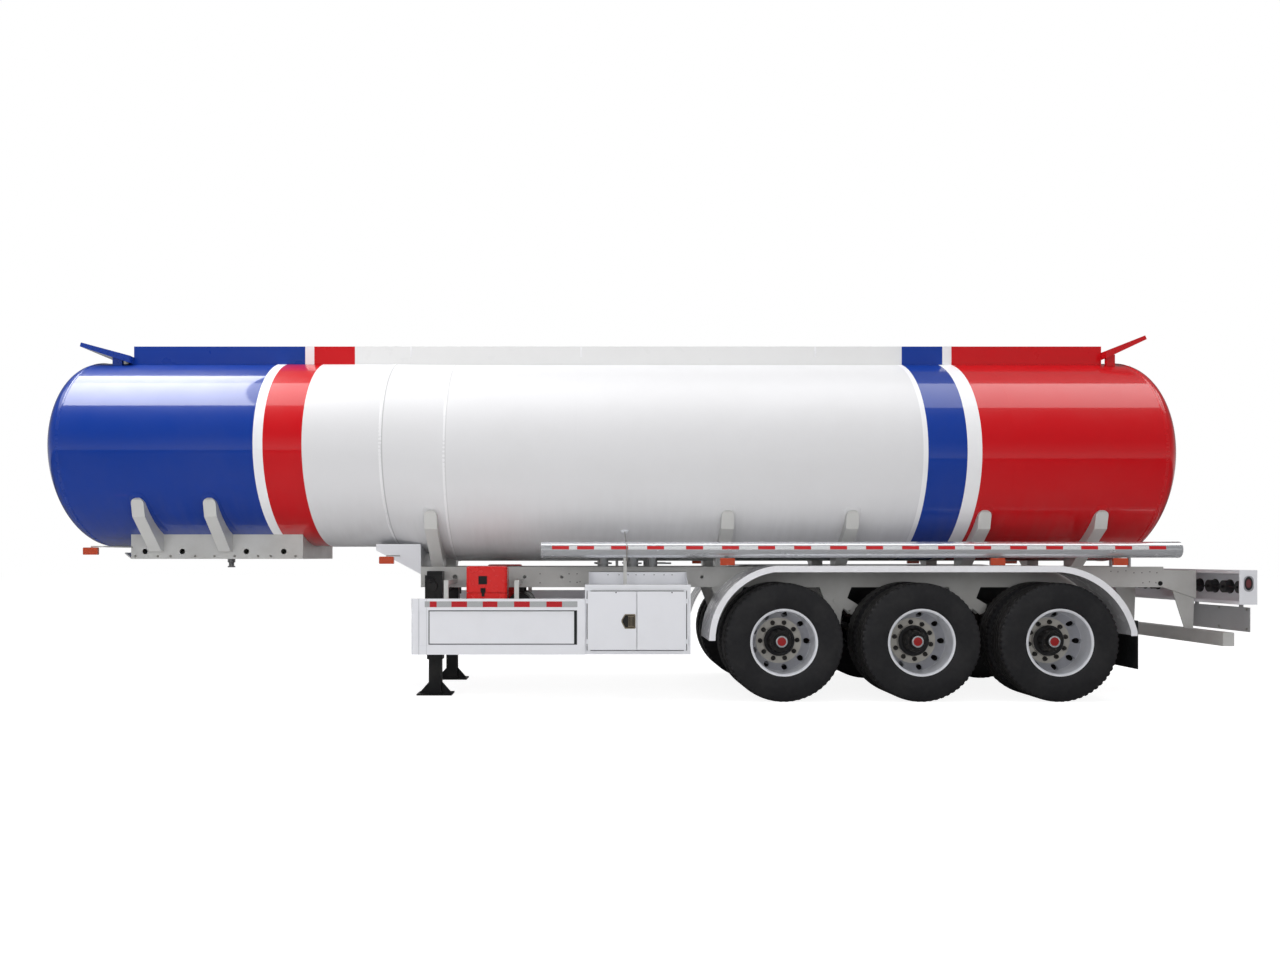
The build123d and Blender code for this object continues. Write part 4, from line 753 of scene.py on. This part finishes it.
for number, axle_x in enumerate(AXLES, start=1):
    for side, sign in SIDES:
        out = (0, sign, 0)
        nuts = Build()
        for a in angles(10, math.radians(14 + 23 * number)):
            place = (axle_x + NUT_CIRCLE * math.cos(a), sign * DISC_Y, WHEEL_Z + NUT_CIRCLE * math.sin(a))
            nuts.lathe(place, out, NUT_WASHER, 20)
            nuts.lathe(place, out, NUT_HEAD, 6, turn=a)
            nuts.lathe(place, out, NUT_STUD, 12)
        nuts.finish(f"wheel_nuts_{number}_{side}", f"wheels_{number}_{side}", ["nut"], "wheel_steel", 30)
        hub = Build()
        face = (axle_x, sign * HUB_FACE_Y, WHEEL_Z)
        hub.lathe(face, out, CAP_RIM, 48, 0)
        hub.lathe(face, out, CAP_FACE, 40, 1)
        hub.bolt_ring((axle_x, sign * HUB_BOLT_Y, WHEEL_Z), out, HUB_BOLT_CIRCLE, 8, 0.0085, math.tau / 16, 2)
        hub.finish(f"hub_cap_{number}_{side}", f"wheels_{number}_{side}", ["chrome", "cap_red", "nut"],
                   "wheel_steel", 35)


# Reflective tape on the side tubes

TUBE_REDS = [photo_x(column, -1.22) for column in
             (552, 577, 611, 647, 686, 722, 758, 794, 830, 866, 902, 938, 974, 1010, 1046, 1081, 1115, 1149)]
RED_LENGTH = 0.150
TAPE_HALF_ANGLE, TAPE_RISE, TAPE_PROUD = 16, 0.012, 0.0006


def tape_patch(build, x0, x1, sign, mark):
    """Tape round part of a tube's outer side."""
    radius = TUBE_RADIUS + TAPE_PROUD
    build.strip([[(x, sign * (TUBE_Y + radius * math.cos(a)), TUBE_Z + TAPE_RISE + radius * math.sin(a))
                  for a in (math.radians(TAPE_HALF_ANGLE * (step / 3 - 1)) for step in range(7))]
                 for x in (x0, x1)], mark)


for side, sign in SIDES:
    build = Build()
    for x, following in zip(TUBE_REDS, TUBE_REDS[1:] + [None]):
        tape_patch(build, x, x + RED_LENGTH, sign, 0)
        if following:
            tape_patch(build, x + RED_LENGTH, following, sign, 1)
    build.finish(f"tube_tape_{side}", "root", ["tape_red", "tape_white"], "stainless", 60)


# Beads round the tank, doubler pads behind its saddles, and seam strips on the roof guards

# rows of (share of the width, share of the height)
BEAD_SECTION = ((-0.5, -0.4), (-0.34, 0.75), (0.0, 1.0), (0.34, 0.75), (0.5, -0.4))
BEAD_STEPS = 160
PAD_HALF = 0.080
PAD_PROUD = 0.0035
PAD_SUNK = -0.001  # where a pad's edge lies, just under the skin
PAD_SECTION = ((-1.0, PAD_SUNK), (-0.94, PAD_PROUD), (-0.4, PAD_PROUD), (0.4, PAD_PROUD), (0.94, PAD_PROUD),
               (1.0, PAD_SUNK))  # rows of (share of the half width, height)
PAD_FLARE = 0.05
PAD_STEPS = 24
REAR_PAD_Z, FRONT_PAD_Z = (1.748, 1.340), (1.858, 1.520)  # top and lower end
SEAM_STRIP = ((-0.009, 0.0), (-0.007, 0.004), (0.007, 0.004), (0.009, 0.0))
SEAM_STRIP_Z = (3.178, 3.276)


def tank_half_height(x):
    """Half height of the tank's section at a place along it."""
    share = min(1.0, max(0.0, (x - CONE_FRONT) / CONE_LENGTH))
    return (FRONT_HEIGHT + share * (REAR_HEIGHT - FRONT_HEIGHT)) / 2


def bead(name, x, width, proud, finish):
    """Rounded bead on the tank's skin, flush where the tank is widest."""
    height = tank_half_height(x)
    rows = []
    for a in angles(BEAD_STEPS) + [math.tau]:
        rise = proud * (1 - abs(math.cos(a)) ** 8)
        row = []
        for along, share in BEAD_SECTION:
            out = rise * share
            y = max(-TANK_HALF_WIDTH, min(TANK_HALF_WIDTH, (TANK_HALF_WIDTH + out) * math.cos(a)))
            row.append((x + along * width, y, TANK_TOP - height + (height + out) * math.sin(a)))
        rows.append(row)
    build = Build()
    build.strip(rows)
    build.finish(name, "root", [finish], "tank_paint", 50)


def skin(x, z, sign, out):
    """Point on the tank's side at a place along it and a height."""
    height = tank_half_height(x)
    rise = (z - TANK_TOP + height) / height
    reach = math.sqrt(max(0.0, 1.0 - rise * rise))
    normal = Vector((0, reach / TANK_HALF_WIDTH, rise / height)).normalized()
    return (x, sign * (TANK_HALF_WIDTH * reach + out * normal.y), z + out * normal.z)


def saddle_pad(build, centre, top, low, sign):
    """Pad with a rounded top end, which flares to the rear lower down."""
    rows = []
    for step in range(PAD_STEPS + 1):
        z = low + (top - low) * step / PAD_STEPS
        short = max(0.0, PAD_HALF - (top - z))
        half = math.sqrt(max(0.0, PAD_HALF ** 2 - short ** 2))
        flare = PAD_FLARE * (1 - step / PAD_STEPS) ** 2
        rows.append([skin(centre + share * half + (flare if share > 0 else 0.0), z, sign,
                          out if step < PAD_STEPS else PAD_SUNK) for share, out in PAD_SECTION])
    build.strip(rows)


bead("bead_cone_front", CONE_FRONT, 0.026, 0.0045, "bead")
bead("bead_cone_rear", CONE_FRONT + CONE_LENGTH, 0.020, 0.0030, "bead")
bead("rim_front", -5.118, 0.030, 0.0040, "blue")
bead("rim_rear", 4.638, 0.030, 0.0040, "red")

build = Build()
for places, ends in ((REAR_SADDLES, REAR_PAD_Z), (FRONT_SADDLES, FRONT_PAD_Z)):
    for x in places:
        for sign in (-1, 1):
            saddle_pad(build, x, *ends, sign)
build.finish("saddle_pads", "root", ["tank"], "tank_paint", 50)

guard_y = max(abs(corner[1]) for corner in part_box("roof_guards")) + 0.0005
build = Build()
for x in GUARD_SEAMS:
    for sign in (-1, 1):
        build.strip([[(x + along, sign * (guard_y + out), z) for z in SEAM_STRIP_Z]
                     for along, out in SEAM_STRIP])
build.finish("guard_seams", "root", ["bead"], "tank_paint", 30)


# Outlet valves, with pipes that pass under the frame beam to the tank's belly

OUTLETS = ((-0.300, -0.300), (-0.013, -0.013), (0.270, 0.170))  # x of each valve and of its riser
RISER_Y, RISER_TOP, FLANGE_Z = 0.350, 1.300, 1.210
RUN_Z = 0.928
ELBOW_Y = 0.700
PIPE_RADIUS, PIPE_BEND = 0.048, 0.075
VALVE_PROFILE = ((-0.070, 0.062), (0.150, 0.062), (0.152, 0.082), (0.172, 0.082), (0.176, 0.074),
                 (0.190, 0.074), (0.194, 0.060))
VALVE_BOLT_CIRCLE, VALVE_BOLT_Y = 0.071, 1.132
CAM_ARM = ((0.080, 1.140), (0.094, 1.120), (0.098, 1.060))  # rows of (distance from the middle, y)
FLANGE_PROFILE = ((0, 0.082), (0.016, 0.082))

build = Build()
for sign in (-1, 1):
    out = (0, sign, 0)
    for x, riser_x in OUTLETS:
        route = bend([(x, sign * VALVE_Y, VALVE_Z), (x, sign * VALVE_Y, RUN_Z), (x, sign * ELBOW_Y, RUN_Z),
                      (riser_x, sign * RISER_Y, RUN_Z), (riser_x, sign * RISER_Y, RISER_TOP)], PIPE_BEND)
        build.tube(route, PIPE_RADIUS, 24)
        build.lathe((x, sign * VALVE_Y, VALVE_Z), out, VALVE_PROFILE, 28)
        build.lathe((x, sign * RISER_Y, FLANGE_Z), (0, 0, 1), FLANGE_PROFILE)
        build.bolt_ring((x, sign * VALVE_BOLT_Y, VALVE_Z), out, VALVE_BOLT_CIRCLE, 8, 0.006)
        for way in (-1, 1):
            build.tube([(x + way * across, sign * y, VALVE_Z) for across, y in CAM_ARM], 0.006, 8)
piece = build.finish("outlet_valves", "root", ["alu"], "aluminium", 40)
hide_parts("outlets")


# Upstand on the cabinet's top, dark strips round the doors as painted shadow, and the door's latch and screws

SHEET = 0.004
UPSTAND_X = (-0.440, 0.424)
UPSTAND_Y, LEDGE_Y = 1.000, 0.960
CABINET_TOP, UPSTAND_TOP = 1.036, 1.146
# rows of (y, z)
CHEEK = ((UPSTAND_Y - SHEET, CABINET_TOP), (1.200, CABINET_TOP), (1.190, 1.060), (1.060, UPSTAND_TOP),
         (UPSTAND_Y - SHEET, UPSTAND_TOP))
UPSTAND_HOLES = (608, 619, 628, 636, 644, 654, 664, 672)  # photo columns
HOLE_Z, HOLE_PROFILE = 1.118, ((0, 0.0045), (0.0006, 0.0045))
SHADE_STRIP_BACK_Y = 1.225
# rows of (x0, x1, z0, z1, outer y): front, rear, bottom and top strips, dark rubber as a painted shadow round
# the doors
DOOR_SHADE_STRIPS = ((-0.462, -0.457, 0.456, 0.982, 1.2285), (0.413, 0.418, 0.456, 0.982, 1.2285),
         (-0.430, 0.390, 0.456, 0.461, 1.2462), (-0.430, 0.390, 0.978, 0.982, 1.2462))
LATCH = ((-0.040, 0.777), (-0.128, 0.777), (-0.158, 0.728), (-0.158, 0.706), (-0.128, 0.649), (-0.040, 0.649),
         (-0.034, 0.656), (-0.034, 0.770))
LATCH_MIDDLE, DISH_SHARE = (-0.092, 0.713), 0.84
LATCH_DISH = [tuple(m + (value - m) * DISH_SHARE for value, m in zip(point, LATCH_MIDDLE)) for point in LATCH]
LATCH_Y, DISH_Y = (1.2470, 1.2486), (1.2480, 1.2490)
BAR_X = (-0.096, -0.084, -0.072, -0.060)
BAR_WIDTH, BAR_Y, BAR_Z = 0.006, (1.2485, 1.2496), (0.672, 0.754)
END_BAR_X, END_BAR_Y, END_BAR_Z = (-0.100, -0.048), (1.2485, 1.2498), ((0.664, 0.674), (0.752, 0.762))
LOCK = (-0.128, 1.2484, 0.718)
LOCK_PROFILE = ((0, 0.015), (0.0012, 0.014), (0.0015, 0.006))
SCREW_PROFILE = ((0, 0.006), (0.0012, 0.0055), (0.0018, 0.003))
SCREW_Y, SCREW_Z = 1.2478, 0.966
SCREWS = (("front", 616), ("rear", 672))  # door and photo column


def upstand(build, sign):
    """Folded sheet with a cheek at each end and a row of holes."""
    build.box(sign, *UPSTAND_X, UPSTAND_Y - SHEET, UPSTAND_Y, CABINET_TOP, UPSTAND_TOP)
    build.box(sign, *UPSTAND_X, LEDGE_Y, UPSTAND_Y, UPSTAND_TOP - SHEET, UPSTAND_TOP)
    for x0, x1 in ((UPSTAND_X[0] - SHEET, UPSTAND_X[0]), (UPSTAND_X[1], UPSTAND_X[1] + SHEET)):
        build.prism(*[[(x, sign * y, z) for y, z in CHEEK] for x in (x0, x1)])
    for column in UPSTAND_HOLES:
        build.lathe((photo_x(column, -1.0), sign * UPSTAND_Y, HOLE_Z), (0, sign, 0), HOLE_PROFILE, 12, 1)


def latch(build, sign):
    """Paddle latch: plate, dish, grip bars between two end bars, and a lock."""
    build.plate(sign, LATCH, *LATCH_Y, 0)
    build.plate(sign, LATCH_DISH, *DISH_Y, 1)
    for x in BAR_X:
        build.box(sign, x, x + BAR_WIDTH, *BAR_Y, *BAR_Z)
    for ends in END_BAR_Z:
        build.box(sign, *END_BAR_X, *END_BAR_Y, *ends)
    x, y, z = LOCK
    build.lathe((x, sign * y, z), (0, sign, 0), LOCK_PROFILE, 20, 2)


for side, sign in SIDES:
    build = Build()
    upstand(build, sign)
    build.finish(f"cabinet_upstand_{side}", "root", ["white", "shadow"], "white_panel", 30)
    build = Build()
    # painted shadow: dark strips along the door edges
    for x0, x1, z0, z1, y in DOOR_SHADE_STRIPS:
        build.box(sign, x0, x1, SHADE_STRIP_BACK_Y, y, z0, z1)
    build.finish(f"door_shade_strip_{side}", "root", ["rubber"], "flap_rubber")
    build = Build()
    latch(build, sign)
    build.finish(f"door_latch_{side}", f"door_{side}_front", ["bronze", "nut", "black_plastic"],
                 "white_panel", 30)
    for door, column in SCREWS:
        build = Build()
        build.lathe((photo_x(column, -1.25), sign * SCREW_Y, SCREW_Z), (0, sign, 0), SCREW_PROFILE, 12)
        build.finish(f"door_screw_{side}_{door}", f"door_{side}_{door}", ["nut"], "white_panel", 30)


# Fire extinguisher case: window and catch

WINDOW_X = (photo_x(478.4, -1.215), photo_x(487.0, -1.215))
WINDOW_Z = (photo_z(584.6, -1.215), photo_z(576.2, -1.215))
WINDOW_FRAME = 0.008
CATCH_X = photo_x(483.0, -1.215)
CATCH = ((0.022, 1.2240, 0.967, 1.005), (0.012, 1.2280, 0.930, 0.990))  # rows of (half width, outer y, z0, z1)

for side, sign in SIDES:
    build = Build()
    build.box(sign, *WINDOW_X, LID_FACE_Y, 1.2175, *WINDOW_Z)
    build.box(sign, WINDOW_X[0] + WINDOW_FRAME, WINDOW_X[1] - WINDOW_FRAME, 1.2150, 1.2182,
              WINDOW_Z[0] + WINDOW_FRAME, WINDOW_Z[1] - WINDOW_FRAME, 1)
    soften(build.finish(f"extinguisher_window_{side}", f"extinguisher_lid_{side}",
                        ["black_plastic", "shadow"], "red_plastic"), 0.0015)
    build = Build()
    for half, y, z0, z1 in CATCH:
        build.box(sign, CATCH_X - half, CATCH_X + half, LID_FACE_Y, y, z0, z1)
    soften(build.finish(f"extinguisher_catch_{side}", f"extinguisher_lid_{side}", ["black_plastic"],
                        "red_plastic"), 0.004)


# Small holes and bolts along the frame beams, and the hook that hangs over each tube

# photo columns and rows
BEAM_DOTS = ((540, 574), (540, 583), (569, 574), (577, 574), (570, 582), (577, 582.5), (580, 582),
             (1111, 571.5), (1118, 572), (1126, 571), (1134, 573), (1142, 573), (1150, 572), (1157, 573),
             (1143, 583), (1149.5, 582), (1156, 583))
BRACKET_BOLTS = ((832.8, 596.5), (832.0, 605.0), (834.5, 611.4), (849.0, 611.0))
BRACKET_Y = 0.540
HOOK_X = -0.117
HOOK_BOSS = ((-0.010, 0.036), (0.012, 0.036), (0.020, 0.028))
HOOK_DROP = (HOOK_X + 0.008, 1.2290, 1.262)
HOOK_ROUTE = ((HOOK_X, 0.920, 1.512), (HOOK_X, 1.060, 1.438), (HOOK_X + 0.004, 1.150, 1.4215),
              (HOOK_X + 0.006, 1.2285, 1.372), HOOK_DROP)
HOOK_TIP = ((-0.004, 0.010), (0.012, 0.010), (0.020, 0.004))

build = Build()
for sign in (-1, 1):
    for column, row in BEAM_DOTS:
        build.lathe((photo_x(column, -0.572), sign * BEAM_FACE_Y, photo_z(row, -0.572)), (0, sign, 0),
                    [(0, 0.0055), (0.0012, 0.0050)], 10)
    for column, row in BRACKET_BOLTS:
        build.bolt((photo_x(column, -0.535), sign * BRACKET_Y, photo_z(row, -0.535)), (0, sign, 0), 0.014, 1)
build.finish("beam_holes", "root", ["shadow", "zinc"], "chassis_paint", 30)

for side, sign in SIDES:
    build = Build()
    build.lathe((HOOK_X, sign * 0.868, 1.522), (0, sign, 0), HOOK_BOSS)
    build.box(sign, HOOK_X - 0.010, HOOK_X + 0.010, 0.880, 0.930, 1.500, 1.520)
    build.tube(bend([(x, sign * y, z) for x, y, z in HOOK_ROUTE], 0.03), 0.0045, 10, 1)
    x, y, z = HOOK_DROP
    build.lathe((x, sign * y, z), (0, 0, -1), HOOK_TIP, 12, 1)
    build.finish(f"hook_{side}", "root", ["white", "zinc"], "chassis_paint", 40)


# Fittings on the manhole lids: dished middle, vent valve, filler cap with its lever, and clamp screws

LID_DISH = ((-0.001, 0.215), (0.003, 0.212), (0.005, 0.200), (0.005, 0.120), (0.010, 0.110), (0.012, 0.060))
VENT = ((0, 0.036), (0.008, 0.036), (0.010, 0.026), (0.030, 0.026), (0.034, 0.034), (0.046, 0.034),
        (0.052, 0.020))
CAP = ((0, 0.086), (0.012, 0.086), (0.016, 0.078), (0.022, 0.074), (0.026, 0.050))
VENT_PLACE, CAP_PLACE = (-0.110, 0.085, 0.004), (0.045, -0.060, 0.008)
LEVER = ((-0.160, 0.020), (-0.150, 0.042), (0.030, 0.042), (0.036, 0.020))  # rows of (y, height over the lid)
UP = (0, 0, 1)

for number, lid_x in enumerate(MANHOLES, start=1):
    body = f"manhole_lid_{number}"
    top = Vector((lid_x, 0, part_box(body)[1][2]))
    build = Build()
    build.lathe(top, UP, LID_DISH, 48)
    build.lathe(top + Vector(VENT_PLACE), UP, VENT, 24, 1)
    build.lathe(top + Vector(CAP_PLACE), UP, CAP, 36)
    lever = [top + Vector((CAP_PLACE[0], y, rise)) for y, rise in LEVER]
    build.tube(bend(lever, 0.012), 0.008, 12, 1)
    build.bolt_ring((lid_x, 0, top.z - 0.001), UP, 0.228, 10, 0.011, math.tau / 20, 1)
    build.finish(f"lid_fittings_{number}", body, ["alu", "zinc"], "aluminium", 40)


# Bolts of the coupler's side plates and of the plate panel, and the tail's cable grommets

COUPLER_BOLTS = (-4.690, -4.480, -4.360, -4.130, -3.950, -3.760, -3.540, -3.420, -3.190)
COUPLER_BOLT_Z = 1.286
PANEL_BOLTS_Y, PANEL_BOLTS_Z = (-0.240, -0.700, -1.120), (0.640, 0.812)
GROMMET_X, GROMMET_Z = 4.930, 1.030
GROMMET = ((0, 0.020), (0.004, 0.022), (0.008, 0.019), (0.009, 0.008))

build = Build()
for sign in (-1, 1):
    for x in COUPLER_BOLTS:
        build.bolt((x, sign * COUPLER_FACE_Y, COUPLER_BOLT_Z), (0, sign, 0), 0.011)
for y in PANEL_BOLTS_Y:
    for z in PANEL_BOLTS_Z:
        build.bolt((PLATE_FACE_X, y, z), (-1, 0, 0), 0.011)
build.finish("plate_bolts", "root", ["zinc"], "chassis_paint", 40)

build = Build()
for sign in (-1, 1):
    build.lathe((GROMMET_X, sign * BEAM_FACE_Y, GROMMET_Z), (0, sign, 0), GROMMET)
build.finish("tail_grommets", "root", ["rubber"], "flap_rubber", 40)


# Gearbox cover on each landing leg

COVER_X, COVER_Z = photo_x(430.4, -0.79), photo_z(581.6, -0.79)
COVER = ((0, 0.046), (0.010, 0.046), (0.014, 0.038), (0.016, 0.020), (0.034, 0.018), (0.036, 0.012))

build = Build()
for sign in (-1, 1):
    build.lathe((COVER_X, sign * 0.784, COVER_Z), (0, sign, 0), COVER, 28)
    build.bolt_ring((COVER_X, sign * 0.793, COVER_Z), (0, sign, 0), 0.037, 6, 0.006)
build.finish("leg_covers", "root", ["black"], "black_paint", 40)


# Caps and bands round the side tubes: profiles are rows of (along, radius over the tube's)

TUBE_CAP = ((0.0005, -0.020), (0.004, -0.006), (0.012, 0.0012), (0.020, 0.0012), (0.022, 0.0002))
TUBE_BAND = ((0, 0.0002), (0.001, 0.0010), (0.007, 0.0010), (0.008, 0.0002))
TUBE_JOINTS = (photo_x(728.0, -1.2), photo_x(1175.0, -1.2))

build = Build()
for sign in (-1, 1):
    rings = [(TUBE_FRONT, 1, TUBE_CAP), (TUBE_REAR, -1, TUBE_CAP)] + [(x, 1, TUBE_BAND) for x in TUBE_JOINTS]
    for x, way, profile in rings:
        build.lathe((x, sign * TUBE_Y, TUBE_Z), (way, 0, 0),
                    [(along, TUBE_RADIUS + proud) for along, proud in profile], 48)
build.finish("tube_ends", "root", ["stainless"], "stainless", 40)


# Floor, room and lamps

FLOOR_X, FLOOR_Y = (-40, 40), (-30, 60)
FLOOR_BOUNCE, FLOOR_IN_GLOSS, FLOOR_SEEN = 0.70, 0.16, 0.42
FLOOR_GLOW = 0.88
ROOM = 0.30
GLOSS_SKY = ((0.0, 0.55), (0.10, 0.32), (0.30, 0.13), (1.0, 0.16))  # rows of (height, level)
# rows of (name, place, target, length, depth, watts, whether gloss shows it)
LAMPS = (("overhead", (0, -1.3, 9.0), (0, -1.3, 2.0), 23, 4.7, 790, True),
         ("front_end", (-7.0, -0.3, 8.9), (-7.0, -0.3, 2.0), 3.2, 6.6, 420, True),
         ("front", (-1.5, -14.0, 3.4), (0, 0, 1.4), 16, 5, 720, False),
         ("back", (1.5, 14.0, 3.4), (0, 0, 1.4), 16, 5, 600, False))


def emptied(owner):
    """The node tree of a new material or world, without its nodes."""
    owner.use_nodes = True
    owner.node_tree.nodes.clear()
    return owner.node_tree


def plain(tree, kind, **inputs):
    """Output of one node whose inputs are set."""
    made = tree.nodes.new("ShaderNode" + kind)
    for name, value in inputs.items():
        made.inputs[name].default_value = value
    return made.outputs[0]


def for_ray(tree, ray, shown, rest):
    """One shader for a kind of ray, and another for the rest."""
    path = tree.nodes.new("ShaderNodeLightPath")
    mixed = tree.nodes.new("ShaderNodeMixShader")
    tree.links.new(path.outputs[ray], mixed.inputs["Fac"])
    tree.links.new(rest, mixed.inputs[1])
    tree.links.new(shown, mixed.inputs[2])
    return mixed.outputs[0]


def grey(level):
    return (level, level, level, 1)


floor_material = bpy.data.materials.new("floor_pale")
tree = emptied(floor_material)
bounce, in_gloss, seen = [plain(tree, "BsdfDiffuse", Color=grey(level))
                          for level in (FLOOR_BOUNCE, FLOOR_IN_GLOSS, FLOOR_SEEN)]
glowing = tree.nodes.new("ShaderNodeAddShader")
tree.links.new(seen, glowing.inputs[0])
tree.links.new(plain(tree, "Emission", Strength=FLOOR_GLOW), glowing.inputs[1])
surface = for_ray(tree, "Is Camera Ray", glowing.outputs[0], for_ray(tree, "Is Glossy Ray", in_gloss, bounce))
tree.links.new(surface, tree.nodes.new("ShaderNodeOutputMaterial").inputs["Surface"])

floor_mesh = bpy.data.meshes.new("floor")
corners = [(FLOOR_X[a], FLOOR_Y[b], 0) for a, b in ((0, 0), (1, 0), (1, 1), (0, 1))]
floor_mesh.from_pydata(corners, [], [(0, 1, 2, 3)])
floor_mesh.materials.append(floor_material)
floor = bpy.data.objects.new("floor", floor_mesh)
floor.location.z = -0.0005
bpy.context.scene.collection.objects.link(floor)

# what gloss shows is a white backdrop low down and a darker room above it
world = bpy.data.worlds.new("studio")
bpy.context.scene.world = world
tree = emptied(world)
split = tree.nodes.new("ShaderNodeSeparateXYZ")
fade = tree.nodes.new("ShaderNodeValToRGB")
for number, (place, level) in enumerate(GLOSS_SKY):
    element = fade.color_ramp.elements[number] if number < 2 else fade.color_ramp.elements.new(place)
    element.position = place
    element.color = grey(level)
sky = tree.nodes.new("ShaderNodeBackground")
tree.links.new(tree.nodes.new("ShaderNodeTexCoord").outputs["Generated"], split.inputs[0])
tree.links.new(split.outputs["Z"], fade.inputs["Fac"])
tree.links.new(fade.outputs["Color"], sky.inputs["Color"])
room = plain(tree, "Background", Color=grey(1), Strength=ROOM)
white = plain(tree, "Background", Color=grey(1), Strength=1.0)
surface = for_ray(tree, "Is Camera Ray", white, for_ray(tree, "Is Glossy Ray", sky.outputs[0], room))
tree.links.new(surface, tree.nodes.new("ShaderNodeOutputWorld").inputs["Surface"])

for name, place, target, length, depth, watts, in_gloss in LAMPS:
    data = bpy.data.lights.new(name, "AREA")
    data.shape = "RECTANGLE"
    data.size = length
    data.size_y = depth
    data.energy = watts
    made = bpy.data.objects.new(name, data)
    made.location = place
    made.rotation_euler = (Vector(target) - Vector(place)).to_track_quat("-Z", "Y").to_euler()
    made.visible_glossy = in_gloss
    bpy.context.scene.collection.objects.link(made)
